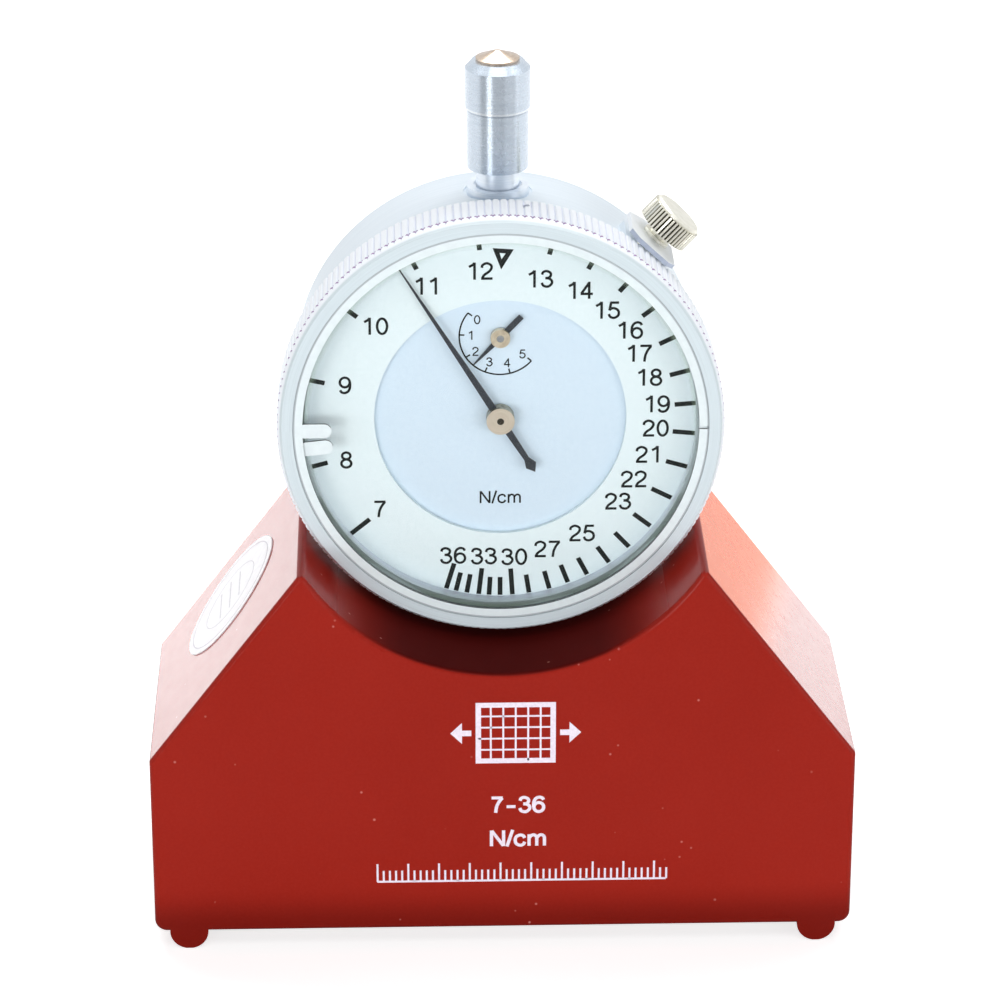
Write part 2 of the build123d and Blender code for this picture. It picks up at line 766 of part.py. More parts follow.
half_rise = spring_pitch / 2
arc_radius = hypot(spring_radius, half_rise / 2)
spring_height = dial_height + spring_foot
with BuildPart() as return_spring:
    with BuildLine():
        for half_turn in range(2 * spring_turns):
            side = 1 if half_turn % 2 == 0 else -1
            low = spring_height + half_turn * half_rise
            start = (spring_axis_x + side * spring_radius, spindle_y, low)
            crest = (spring_axis_x, spindle_y + side * arc_radius, low + half_rise / 2)
            finish = (spring_axis_x - side * spring_radius, spindle_y, low + half_rise)
            ThreePointArc(start, crest, finish)
    wire_start = (spring_axis_x + spring_radius, spindle_y, spring_height)
    with BuildSketch(Plane(origin=wire_start, z_dir=(0, 1, 0))):
        Circle(spring_wire / 2)
    sweep()
save(return_spring, "return_spring")

# least gap between neighbouring turns, measured on points of the wire's middle line
steps = 48
wire_points = []
for half_turn in range(4):
    side = 1 if half_turn % 2 == 0 else -1
    for step in range(steps):
        turn = pi * step / steps
        along = cos(turn)
        wire_points.append((side * spring_radius * along, side * arc_radius * sin(turn),
                            half_turn * half_rise + half_rise * (1 - along) / 2))
least_gap = min(
    sqrt(sum((a - b) ** 2 for a, b in zip(first, second))) - spring_wire
    for index, first in enumerate(wire_points)
    for second in wire_points[index + steps:]
)
print(f"return spring: least gap between turns {least_gap:.2f} mm")

# Gear train: each mesh has a tooth of one gear in a gap of the other at rest

wheel_mesh_angle = degrees(atan2(-rack_arbor_z, -rack_arbor_x))
tooth_step = full_circle / centre_pinion_teeth
centre_phase = wheel_mesh_angle + half_circle + tooth_step / 2
tooth_at_top = centre_phase + tooth_step * round((quarter_circle - centre_phase) / tooth_step)
pinion_lead = tooth_at_top - quarter_circle
counter_lead = pinion_lead * centre_pinion_radius / wheel_radius
counter_phase = half_circle / wheel_teeth - quarter_circle - counter_lead

rack_arbor_back = bridge_ahead + end_shake
rack_arbor_front = front_plate_back - end_shake
with BuildPart() as rack_pinion:
    with BuildSketch(dial(-rack_pinion_width / 2, rack_arbor_x, rack_arbor_z)):
        outline(toothed_points(rack_pinion_teeth, 0))
    extrude(amount=rack_pinion_width)
    disc(dial(rack_arbor_back, rack_arbor_x, rack_arbor_z), arbor_radius, rack_arbor_front - rack_arbor_back)
    disc(dial(rack_arbor_back, rack_arbor_x, rack_arbor_z), pivot_radius, -bridge_thickness)
    disc(dial(rack_arbor_front, rack_arbor_x, rack_arbor_z), pivot_radius, front_plate_thickness)
save(rack_pinion, "rack_pinion")

with BuildPart() as rack_wheel:
    with BuildSketch(dial(rack_wheel_back, rack_arbor_x, rack_arbor_z)):
        outline(toothed_points(wheel_teeth, wheel_mesh_angle))
        Circle(arbor_radius, mode=Mode.SUBTRACT)
    extrude(amount=wheel_thickness)
save(rack_wheel, "rack_wheel")

arbor_back = middle_plate_front + end_shake
arbor_front = front_plate_back - end_shake
with BuildPart() as centre_pinion:
    with BuildSketch(dial(centre_pinion_back)):
        outline(toothed_points(centre_pinion_teeth, centre_phase))
    extrude(amount=centre_pinion_width)
    disc(dial(arbor_back), arbor_radius, arbor_front - arbor_back)
    disc(dial(arbor_back), pivot_radius, -middle_plate_thickness)
    disc(dial(arbor_front), pointer_arbor_radius, hub_front - arbor_front)
save(centre_pinion, "centre_pinion")

tail_neck = pointer_tail - pointer_tail_head_length
with BuildPart() as main_pointer:
    with BuildSketch(dial(pointer_back, turn=pointer_rest_angle)):
        outline([
            (-pointer_root_width / 2, 0),
            (-pointer_tip_width / 2, pointer_length),
            (pointer_tip_width / 2, pointer_length),
            (pointer_root_width / 2, 0),
            (pointer_tail_width / 2, -tail_neck),
            (pointer_tail_head_width / 2, -tail_neck - pointer_tail_head_length / 2),
            (0, -pointer_tail),
            (-pointer_tail_head_width / 2, -tail_neck - pointer_tail_head_length / 2),
            (-pointer_tail_width / 2, -tail_neck),
        ])
        Circle(pointer_arbor_radius + pointer_eye_width)
        Circle(pointer_arbor_radius, mode=Mode.SUBTRACT)
    extrude(amount=pointer_thickness)
save(main_pointer, "main_pointer")

with BuildPart() as pointer_hub:
    disc(dial(hub_back), hub_radius, hub_front - hub_back, inner=pointer_arbor_radius)
    add(main_pointer.part, mode=Mode.SUBTRACT)
save(pointer_hub, "pointer_hub")

with BuildPart() as counter_arbor:
    disc(dial(arbor_back, 0, gear_centres), arbor_radius, arbor_front - arbor_back)
    disc(dial(arbor_back, 0, gear_centres), pivot_radius, -middle_plate_thickness)
    disc(dial(arbor_front, 0, gear_centres), pointer_arbor_radius, small_hub_front - arbor_front)
    disc(dial(hairspring_back, 0, gear_centres), collet_radius, hairspring_width)
save(counter_arbor, "counter_arbor")

with BuildPart() as counter_wheel:
    with BuildSketch(dial(counter_wheel_back, 0, gear_centres)):
        outline(toothed_points(wheel_teeth, counter_phase))
        Circle(arbor_radius, mode=Mode.SUBTRACT)
    extrude(amount=wheel_thickness)
save(counter_wheel, "counter_wheel")

with BuildPart() as small_pointer:
    with BuildSketch(dial(small_pointer_back, 0, gear_centres, small_pointer_rest_angle)):
        outline([
            (-small_pointer_root_width / 2, 0),
            (-pointer_tip_width / 2, small_pointer_length),
            (pointer_tip_width / 2, small_pointer_length),
            (small_pointer_root_width / 2, 0),
            (small_pointer_root_width / 2, -small_pointer_tail),
            (-small_pointer_root_width / 2, -small_pointer_tail),
        ])
        Circle(pointer_arbor_radius + pointer_eye_width)
        Circle(pointer_arbor_radius, mode=Mode.SUBTRACT)
    extrude(amount=small_pointer_thickness)
save(small_pointer, "small_pointer")

with BuildPart() as small_hub:
    disc(dial(small_hub_back, 0, gear_centres), small_hub_radius, small_hub_front - small_hub_back,
         inner=pointer_arbor_radius)
    add(small_pointer.part, mode=Mode.SUBTRACT)
save(small_hub, "small_hub")


def spiral_side(offset):
    """Corners of half turns, with centres that alternate so that the spiral widens by equal steps."""
    arcs = []
    for half_turn in range(hairspring_half_turns):
        side = 1 if half_turn % 2 == 0 else -1
        radius = hairspring_start + half_turn * hairspring_step + offset
        middle = 0 if side > 0 else hairspring_step
        arcs.append(((middle + side * radius, 0), (middle, side * radius), (middle - side * radius, 0)))
    return arcs


with BuildPart() as hairspring:
    with BuildSketch(dial(hairspring_back, 0, gear_centres)):
        with BuildLine():
            inner_side = spiral_side(-hairspring_thickness / 2)
            outer_side = spiral_side(hairspring_thickness / 2)
            for start, crest, finish in inner_side + outer_side:
                ThreePointArc(start, crest, finish)
            Line(inner_side[0][0], outer_side[0][0])
            Line(inner_side[-1][2], outer_side[-1][2])
        make_face()
    extrude(amount=hairspring_width)
save(hairspring, "hairspring")

stud_x = outer_side[-1][2][0] - stud_radius
with BuildPart() as hairspring_stud:
    disc(dial(front_plate_back, stud_x, gear_centres), stud_radius, -(front_plate_back - hairspring_back))
save(hairspring_stud, "hairspring_stud")

# Dial: the fixed inner plate, then all that turns with the bezel

with BuildPart() as dial_plate:
    with BuildSketch(dial(dial_plate_ahead)):
        Circle(dial_plate_radius)
        with Locations(arbor_places[0], arbor_places[2]):
            Circle(dial_hole_radius, mode=Mode.SUBTRACT)
    extrude(amount=dial_plate_thickness)
save(dial_plate, "dial_plate")

bezel_bore = spigot_radius + bezel_running_clearance
scale_front = scale_ring_back + scale_ring_thickness
bezel_screw_inner = spigot_radius - screw_groove_depth / 2
bezel_screw_length = bezel_radius - bezel_screw_inner - bezel_screw_sunk
bezel_screw_step = full_circle / bezel_screw_count
bezel_screw_angles = [bezel_screw_angle + bezel_screw_step * index for index in range(bezel_screw_count)]


def bezel_screw_plane(angle):
    """A plane square to one of the bezel's screws, at its inner end."""
    x, z = polar(bezel_screw_inner, angle)
    out = (cos(radians(angle)), 0, sin(radians(angle)))
    ahead = screw_groove_front - screw_groove_width / 2
    return Plane(origin=(x, spindle_y - ahead, dial_height + z), x_dir=(0, 1, 0), z_dir=out)


with BuildPart() as bezel_ring:
    with BuildSketch(dial(bezel_back)):
        outline(grooved_points(bezel_radius, knurl_count, knurl_depth, knurl_groove_share))
    extrude(amount=bezel_front - bezel_back)
    # chamfer all round that cuts the front ends of the grooves
    rim = disc(dial(bezel_back), bezel_radius, bezel_knurl_front - bezel_back, mode=Mode.PRIVATE)
    lip_height = bezel_front - bezel_knurl_front
    with BuildSketch(dial(bezel_knurl_front), mode=Mode.PRIVATE) as lip_start:
        Circle(bezel_radius)
    lip = extrude(lip_start.sketch, amount=lip_height, taper=degrees(atan2(bezel_lip_step, lip_height)),
                  mode=Mode.PRIVATE)
    add(rim + lip, mode=Mode.INTERSECT)
    disc(dial(bezel_back), bezel_bore, scale_front - bezel_back, mode=Mode.SUBTRACT)
    disc(dial(scale_front), bezel_ledge_radius, crystal_back - scale_front, mode=Mode.SUBTRACT)
    disc(dial(crystal_back), crystal_radius, crystal_thickness, mode=Mode.SUBTRACT)
    disc(dial(crystal_front), bezel_recess_radius, bezel_front - crystal_front, mode=Mode.SUBTRACT)
    for angle in bezel_screw_angles:
        disc(bezel_screw_plane(angle), bezel_screw_radius, bezel_radius, mode=Mode.SUBTRACT)
save(bezel_ring, "bezel_ring")

with BuildPart() as bezel_screws:
    for angle in bezel_screw_angles:
        disc(bezel_screw_plane(angle), bezel_screw_radius, bezel_screw_length)
save(bezel_screws, "bezel_screws")

with BuildPart() as scale_ring:
    disc(dial(scale_ring_back), bezel_bore, scale_ring_thickness, inner=scale_ring_inner_radius)
save(scale_ring, "scale_ring")

with BuildPart() as crystal:
    disc(dial(crystal_back), crystal_radius, crystal_thickness)
save(crystal, "crystal")

limit_width = limit_outer_radius - limit_inner_radius
limit_middle = (limit_outer_radius + limit_inner_radius) / 2
tab_length = limit_tab_reach + limit_width / 2
limits = [
    ("limit_ring_upper", limit_upper_back, limit_upper_angle, limit_upper_slit),
    ("limit_ring_lower", limit_lower_back, limit_lower_angle, limit_lower_slit),
]
for limit_name, limit_back, tab_angle, slit in limits:
    with BuildPart() as limit_ring:
        with BuildSketch(dial(limit_back)):
            Circle(limit_outer_radius)
            Circle(limit_inner_radius, mode=Mode.SUBTRACT)
            with PolarLocations(limit_middle - tab_length / 2, 1, tab_angle):
                SlotOverall(tab_length, limit_tab_width)
            with PolarLocations(limit_middle, 1, tab_angle + half_circle):
                Rectangle(2 * limit_width, slit, mode=Mode.SUBTRACT)
        extrude(amount=limit_thickness)
    save(limit_ring, limit_name)

# Bezel clamp

with BuildPart() as clamp_plate:
    with BuildSketch(clamp(clamp_plate_under)):
        outline([
            (clamp_front_corner - clamp_plate_left, -clamp_plate_front),
            (clamp_plate_right - clamp_front_corner, -clamp_plate_front),
            (clamp_plate_right, clamp_front_corner - clamp_plate_front),
            (clamp_plate_right, clamp_plate_rear - clamp_rear_corner_length),
            (clamp_plate_right - clamp_rear_corner_width, clamp_plate_rear),
            (clamp_rear_corner_width - clamp_plate_left, clamp_plate_rear),
            (-clamp_plate_left, clamp_plate_rear - clamp_rear_corner_length),
            (-clamp_plate_left, clamp_front_corner - clamp_plate_front),
        ])
    extrude(amount=clamp_plate_thickness)
    with BuildSketch(clamp(clamp_pad_radius)):
        with Locations((0, clamp_plate_rear - clamp_leg_inset)):
            Rectangle(clamp_leg_width, clamp_leg_length, align=(Align.CENTER, Align.MAX))
    extrude(amount=clamp_plate_under - clamp_pad_radius)
    disc(clamp(clamp_plate_under), clamp_screw_radius + clamp_screw_clearance, clamp_plate_thickness,
         mode=Mode.SUBTRACT)
save(clamp_plate, "clamp_plate")

collar_start = clamp_plate_over + running_clearance
knob_start = collar_start + clamp_collar_thickness + clamp_neck_length
with BuildPart() as bezel_clamp_screw:
    disc(clamp(clamp_screw_end), clamp_screw_radius, knob_start - clamp_screw_end)
    disc(clamp(collar_start), clamp_collar_radius, clamp_collar_thickness)
    with BuildSketch(clamp(knob_start)):
        outline(grooved_points(
            clamp_knob_radius, clamp_knob_groove_count, clamp_knob_groove_depth, clamp_knob_groove_share))
    extrude(amount=clamp_knob_length - clamp_knob_rim)
    knob_rim_radius = clamp_knob_radius - clamp_knob_groove_depth
    disc(clamp(knob_start + clamp_knob_length - clamp_knob_rim), knob_rim_radius, clamp_knob_rim)
    chamfer(bezel_clamp_screw.edges().filter_by(GeomType.CIRCLE).sort_by(
        lambda edge: edge.center().Z)[-1], length=clamp_knob_rim / 2)
save(bezel_clamp_screw, "bezel_clamp_screw")
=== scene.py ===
"""Looks of the dial tension gauge: materials, printed marks, return spring, room, lights and camera."""

from math import cos, pi, radians, sin, sqrt

import bmesh
import bpy
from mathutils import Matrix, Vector


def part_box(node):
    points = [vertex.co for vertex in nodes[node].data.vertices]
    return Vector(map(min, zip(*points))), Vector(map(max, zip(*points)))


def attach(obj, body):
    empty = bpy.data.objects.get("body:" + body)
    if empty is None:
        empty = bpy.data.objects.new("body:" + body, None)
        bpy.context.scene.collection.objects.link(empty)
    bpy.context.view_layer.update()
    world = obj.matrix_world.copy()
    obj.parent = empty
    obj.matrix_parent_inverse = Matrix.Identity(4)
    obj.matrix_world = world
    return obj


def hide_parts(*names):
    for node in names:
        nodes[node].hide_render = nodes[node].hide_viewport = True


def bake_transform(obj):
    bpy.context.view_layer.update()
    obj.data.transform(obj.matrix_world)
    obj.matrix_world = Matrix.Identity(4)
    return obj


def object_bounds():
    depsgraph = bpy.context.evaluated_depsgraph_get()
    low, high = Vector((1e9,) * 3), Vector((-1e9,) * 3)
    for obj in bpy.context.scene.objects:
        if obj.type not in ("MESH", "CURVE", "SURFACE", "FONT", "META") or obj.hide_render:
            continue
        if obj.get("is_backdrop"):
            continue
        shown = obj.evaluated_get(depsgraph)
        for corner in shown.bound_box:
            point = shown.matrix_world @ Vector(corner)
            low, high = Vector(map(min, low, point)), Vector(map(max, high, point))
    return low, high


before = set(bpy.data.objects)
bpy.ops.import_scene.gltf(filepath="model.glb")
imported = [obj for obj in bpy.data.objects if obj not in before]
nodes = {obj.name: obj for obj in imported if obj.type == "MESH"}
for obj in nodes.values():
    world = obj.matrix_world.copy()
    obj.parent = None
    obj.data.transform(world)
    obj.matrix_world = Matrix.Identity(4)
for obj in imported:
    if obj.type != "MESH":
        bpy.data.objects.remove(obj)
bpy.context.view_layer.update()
scene = bpy.context.scene

# Sizes of the part that the looks follow: in millimetres, or in metres where MM is multiplied in
MM = 0.001
DIAL = Vector((0, 8.95, 69.0))           # the point on the dial's axis that lies in the spindle's axis
SUB_DIAL_RISE = 10.942                   # from the dial's axis up to the small pointer's
OUTER_FACE, INNER_FACE = 12.9, 12.2      # how far ahead of DIAL the two dial faces lie
BLOCK_FRONT = -17.75
TROUGH_EDGE = (29.75 * MM, 30.1 * MM)    # just outside the trough's face, round the dial's axis
BEZEL_RADIUS = 28.5
KNURL_COUNT, KNURL_FRONT = 180, 15.65    # the bezel's grooves, and their front end ahead of DIAL
KNURL_START = (28.0 * MM, 28.25 * MM)    # where the lip's colour turns into the knurl's
GROOVE_DEEP = (28.27 * MM, 28.42 * MM)   # from the bottom of a groove to its top
ARCH_HALF, ARCH_DEPTH, ARCH_SLOPE = 0.40, 0.75 * MM, 1.3
CAP_HEAD = 6.25 * MM                     # the lifting cap's head and crown
KNOB_TURN, KNOB_AHEAD = radians(43.1), 4.7
KNOB_BOTTOM, KNOB_RIM = (3.30 * MM, 3.37 * MM), (3.48 * MM, 3.64 * MM)
KNOB_END = (33.20 * MM, 33.27 * MM)      # the knob's front edge, along its axis from the dial's
LABEL_HALF = 0.075


# ---------------------------------------------------------------- colours and node helpers

def srgb(red, green, blue):
    """A colour as it looks on the screen, 0 to 255, as the linear values that a shader takes."""
    def linear(value):
        value /= 255
        return value / 12.92 if value <= 0.04045 else ((value + 0.055) / 1.055) ** 2.4
    return (linear(red), linear(green), linear(blue), 1.0)


class Nodes:
    """Adds nodes to one shader tree and links them."""

    def __init__(self, tree):
        self.tree = tree

    def node(self, kind, **values):
        made = self.tree.nodes.new(kind)
        for key, value in values.items():
            setattr(made, key, value)
        return made

    def link(self, source, target):
        self.tree.links.new(source, target)

    def feed(self, target, value):
        """Links an output to the socket, or sets a plain value there."""
        if hasattr(value, "is_linked"):
            self.link(value, target)
        else:
            target.default_value = value

    def operate(self, kind, operation, values):
        made = self.node(kind, operation=operation)
        for socket, value in zip(made.inputs, values):
            self.feed(socket, value)
        return made

    def math(self, operation, *values):
        return self.operate("ShaderNodeMath", operation, values).outputs["Value"]

    def vector(self, operation, *values):
        made = self.operate("ShaderNodeVectorMath", operation, values)
        return made.outputs["Value" if operation in ("DOT_PRODUCT", "LENGTH") else "Vector"]

    def times(self, product, *factors):
        for factor in factors:
            product = self.math("MULTIPLY", product, factor)
        return product

    def between(self, source, low, high, at_low, at_high):
        """A smooth change from one value to another while the source goes from low to high."""
        made = self.node("ShaderNodeMapRange", interpolation_type="SMOOTHSTEP")
        for socket, value in (("From Min", low), ("From Max", high), ("To Min", at_low), ("To Max", at_high)):
            made.inputs[socket].default_value = value
        self.link(source, made.inputs["Value"])
        return made.outputs["Result"]

    def coordinates(self, kind):
        return self.node("ShaderNodeTexCoord").outputs[kind]

    def parts(self, source):
        """The X, Y and Z of a vector."""
        split = self.node("ShaderNodeSeparateXYZ")
        self.link(source, split.inputs["Vector"])
        return [split.outputs[axis] for axis in "XYZ"]

    def rays(self):
        """1 for rays that the camera sees straight or through glass, and 1 for mirrored rays."""
        path = self.node("ShaderNodeLightPath")
        straight = self.math("MAXIMUM", path.outputs["Is Camera Ray"], path.outputs["Is Transmission Ray"])
        return straight, path.outputs["Is Glossy Ray"]


class Surface(Nodes):
    """A Principled material that is built up from object-space textures."""

    def __init__(self, name, colour, metallic=0.0, roughness=0.4, specular=0.5, alpha=1.0, ior=1.5,
                 anisotropic=0.0):
        self.material = bpy.data.materials.new(name)
        self.material.use_nodes = True
        super().__init__(self.material.node_tree)
        self.shader = next(n for n in self.tree.nodes if n.type == "BSDF_PRINCIPLED")
        self.set("Base Color", colour)
        self.set("Metallic", metallic)
        self.set("Roughness", roughness)
        self.set("Specular IOR Level", specular)
        self.set("IOR", ior)
        self.set("Alpha", alpha)
        self.set("Anisotropic", anisotropic)
        self.place = self.coordinates("Object")
        self.height = None

    def set(self, socket, value):
        """Gives the shader's socket a plain value, or what an output says."""
        self.feed(self.shader.inputs[socket], value)

    def stretched(self, scale):
        mapping = self.node("ShaderNodeMapping")
        mapping.inputs["Scale"].default_value = scale
        self.link(self.place, mapping.inputs["Vector"])
        return mapping.outputs["Vector"]

    def noise(self, scale, detail=3.0, rough=0.55, vector=None):
        made = self.node("ShaderNodeTexNoise")
        made.inputs["Scale"].default_value = scale
        made.inputs["Detail"].default_value = detail
        made.inputs["Roughness"].default_value = rough
        self.link(vector or self.place, made.inputs["Vector"])
        return made.outputs["Fac"]

    def cells(self, scale):
        made = self.node("ShaderNodeTexVoronoi", feature="F1")
        made.inputs["Scale"].default_value = scale
        self.link(self.place, made.inputs["Vector"])
        return made.outputs["Distance"]

    def ramp(self, factor, *stops):
        """Runs through the stops, each a position with a colour or a grey."""
        made = self.node("ShaderNodeValToRGB")
        elements = made.color_ramp.elements
        while len(elements) < len(stops):
            elements.new(0.5)
        for element, (position, colour) in zip(elements, stops):
            element.position = position
            element.color = colour if hasattr(colour, "__len__") else (colour, colour, colour, 1.0)
        self.link(factor, made.inputs["Fac"])
        return made.outputs["Color"]

    def mixed(self, factor, first, second):
        """The first colour where the factor is 0 and the second where it is 1."""
        made = self.node("ShaderNodeMix", data_type="RGBA")
        self.feed(made.inputs["Factor"], factor)
        self.feed(made.inputs[6], first)
        self.feed(made.inputs[7], second)
        return made.outputs[2]

    def colour(self):
        """The output that the shader's colour comes from."""
        return self.shader.inputs["Base Color"].links[0].from_socket

    def colours(self, source):
        self.set("Base Color", source)
        return self

    def rough(self, factor, low, high):
        """Roughness that follows a texture between two values."""
        made = self.node("ShaderNodeMapRange")
        made.inputs["To Min"].default_value = low
        made.inputs["To Max"].default_value = high
        self.link(factor, made.inputs["Value"])
        self.set("Roughness", made.outputs["Result"])
        return self

    def bump(self, factor, depth_mm, strength):
        """Adds a relief of that depth to the ones before it."""
        made = self.node("ShaderNodeBump")
        made.inputs["Distance"].default_value = depth_mm * MM
        made.inputs["Strength"].default_value = strength
        self.link(factor, made.inputs["Height"])
        if self.height is not None:
            self.link(self.height, made.inputs["Normal"])
        self.height = made.outputs["Normal"]
        self.set("Normal", self.height)
        return self

    def from_dial(self):
        """How far to the right of the dial's axis, at what depth, how far above it, and how far from it."""
        x, y, z = self.parts(self.place)
        up = self.math("SUBTRACT", z, DIAL.z * MM)
        reach = self.math("SQRT", self.math("ADD", self.times(x, x), self.times(up, up)))
        return x, y, up, reach

    def reach(self):
        """The distance from the dial's axis, in metres."""
        return self.from_dial()[3]

    def around_dial(self, ring_scale, turn_scale):
        """Coordinates that run round the dial's axis, for turned faces and brushed rims."""
        x, y, up, reach = self.from_dial()
        turn = self.math("ARCTAN2", up, x)
        joined = self.node("ShaderNodeCombineXYZ")
        for axis, value, scale in (("X", reach, ring_scale), ("Y", turn, turn_scale), ("Z", y, ring_scale)):
            self.link(self.times(value, scale), joined.inputs[axis])
        return joined.outputs["Vector"]

    def towards_reader(self, full=-0.92, none=-0.70):
        """1 on faces that look at the reader of the dial, 0 on those that look another way."""
        facing = self.parts(self.coordinates("Normal"))[1]
        return self.between(facing, full, none, 1.0, 0.0)


# ---------------------------------------------------------------- materials

def make_enamel():
    """Glossy red enamel with a fine grain, a few pale specks, and painted shade in the trough and along the
    bottom edge.
    """
    s = Surface("red_enamel", srgb(148, 31, 20), roughness=0.14, specular=0.10)
    broad = s.noise(38.0, detail=3.0, rough=0.5)
    body = s.ramp(broad, (0.3, srgb(147, 30, 19)), (0.7, srgb(152, 33, 22)))
    grain = s.ramp(s.noise(2600.0, detail=2.0), (0.35, 0.0), (0.75, 0.16))
    body = s.mixed(grain, body, srgb(176, 50, 38))
    # Painted shade: darker in the middle of the trough and along the bottom edge, where little light falls
    x, _, z = s.parts(s.place)
    aside = s.math("ABSOLUTE", x)
    inside = s.between(s.reach(), *TROUGH_EDGE, 1.0, 0.0)
    trough = s.times(inside, s.between(aside, 12.0 * MM, 23.0 * MM, 0.97, 0.0))
    bottom = s.between(z, 3.0 * MM, 9.0 * MM, 0.55, 0.0)
    body = s.mixed(s.math("MAXIMUM", trough, bottom), body, srgb(80, 5, 2))
    specks = s.ramp(s.cells(420.0), (0.045, 1.0), (0.095, 0.0))
    chosen = s.ramp(s.noise(160.0, detail=1.0), (0.56, 0.0), (0.62, 1.0))
    s.colours(s.mixed(s.times(specks, chosen, 0.55), body, srgb(226, 150, 140)))
    # The paint is rougher in the middle of the trough, which takes the gloss away
    polish = s.between(s.noise(700.0, detail=3.0), 0.2, 0.8, 0.11, 0.18)
    dull = s.times(inside, s.between(aside, 16.0 * MM, 23.0 * MM, 0.9, 0.12))
    s.set("Roughness", s.math("MAXIMUM", polish, dull))
    s.bump(s.noise(150.0, detail=2.0, rough=0.4), 0.05, 0.30)
    s.bump(s.noise(1100.0, detail=2.0, rough=0.5), 0.006, 0.5)
    return s


def make_label():
    s = Surface("label_film", srgb(246, 242, 244), roughness=0.42, specular=0.4)
    s.colours(s.ramp(s.noise(900.0), (0.3, srgb(241, 238, 241)), (0.7, srgb(250, 248, 250))))
    s.bump(s.noise(1500.0), 0.004, 0.4)
    return s


def make_satin(name, dark, light, rings_depth, metallic=0.20):
    """Satin chrome: turned rings round the dial's axis and a fine even grain."""
    s = Surface(name, light, metallic=metallic, roughness=0.40)
    rings = s.noise(1.0, detail=3.0, vector=s.around_dial(9000.0, 1.4))
    s.colours(s.ramp(rings, (0.3, dark), (0.7, light)))
    s.rough(s.noise(1300.0), 0.33, 0.43)
    s.bump(rings, rings_depth, 0.35)
    s.bump(s.noise(4200.0, detail=2.0), 0.003, 0.3)
    return s


def make_bezel():
    """Satin like the case, with a brighter knurl, painted shade down its grooves, and painted shadows in
    small dark arches where the grooves end at the lip.
    """
    s = make_satin("bezel_satin", srgb(205, 217, 222), srgb(213, 225, 230), 0.003, 0.04)
    x, y, up, reach = s.from_dial()
    behind = s.math("SUBTRACT", y, (DIAL.y - KNURL_FRONT) * MM)
    groove = s.times(s.between(reach, *GROOVE_DEEP, 1.0, 0.0), s.between(behind, 0.0, 0.15 * MM, 0.0, 1.0))
    body = s.mixed(s.between(reach, *KNURL_START, 0.0, 1.0), s.colour(), srgb(245, 249, 254))
    # Painted shade down in the grooves of the knurl
    body = s.mixed(s.times(groove, 0.45), body, srgb(200, 202, 226))
    # Painted shadows: small dark arches where the grooves end at the lip. How far round from the nearest
    # groove, as a share of the arch, and how deep the arch is there
    turn = s.times(s.math("ARCTAN2", up, x), KNURL_COUNT / (2 * pi))
    share = s.math("FRACT", s.math("ADD", turn, 0.5))
    off = s.math("DIVIDE", s.math("SUBTRACT", share, 0.5), ARCH_HALF)
    arch = s.math("SUBTRACT", ARCH_DEPTH, s.times(off, off, ARCH_DEPTH))
    inside = s.between(s.math("SUBTRACT", arch, behind), 0.0, 0.12 * MM, 0.0, 1.0)
    # Down in the groove the arch starts a little further back, so that it looks straight along the lip
    start = s.math("SUBTRACT", BEZEL_RADIUS * ARCH_SLOPE * MM, s.times(reach, ARCH_SLOPE))
    started = s.between(s.math("SUBTRACT", behind, start), -0.02 * MM, 0.02 * MM, 0.0, 1.0)
    return s.colours(s.mixed(s.times(inside, started), body, srgb(150, 110, 162)))


def make_cap(name, dark, light):
    """The cap's turned chrome, with a painted highlight line and a painted shadow where its head steps out.
    """
    s = make_turned(name, dark, light, 0.27, 0.85)
    z = s.parts(s.place)[2]
    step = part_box("lifting_cap")[1].z - CAP_HEAD
    # Painted shadow in a band just below the step, and a painted highlight line just above it
    step_shadow = s.times(s.between(z, step - 0.40 * MM, step - 0.15 * MM, 0.0, 1.0),
                    s.between(z, step - 0.04 * MM, step, 1.0, 0.0))
    edge = s.times(s.between(z, step, step + 0.04 * MM, 0.0, 1.0),
                   s.between(z, step + 0.22 * MM, step + 0.36 * MM, 1.0, 0.0))
    body = s.mixed(s.times(step_shadow, 0.55), s.colour(), srgb(128, 140, 154))
    return s.colours(s.mixed(s.times(edge, 0.5), body, srgb(250, 253, 255)))


def make_metal(name, dark, light, roughness, spread=0.08, relief=0.004):
    """Plain metal with fine streaks."""
    s = Surface(name, light, metallic=1.0, roughness=roughness)
    streaks = s.noise(900.0, detail=4.0, vector=s.stretched((1, 1, 9)))
    s.colours(s.ramp(streaks, (0.3, dark), (0.72, light)))
    s.rough(s.noise(1530.0), roughness - spread, roughness + spread)
    s.bump(streaks, relief, 0.4)
    return s


def make_turned(name, dark, light, roughness, anisotropic):
    """Steel turned on an upright axis, so that its highlights stretch along the axis."""
    s = Surface(name, light, metallic=1.0, roughness=roughness, anisotropic=anisotropic)
    s.set("Anisotropic Rotation", 0.25)
    turned = s.noise(500.0, detail=3.0, vector=s.stretched((0.6, 0.6, 18)))
    s.colours(s.ramp(turned, (0.3, dark), (0.7, light)))
    s.rough(s.noise(2200.0), roughness - 0.03, roughness + 0.03)
    s.bump(turned, 0.0015, 0.25)
    s.set("Tangent", s.node("ShaderNodeTangent", direction_type="RADIAL", axis="Z").outputs["Tangent"])
    return s


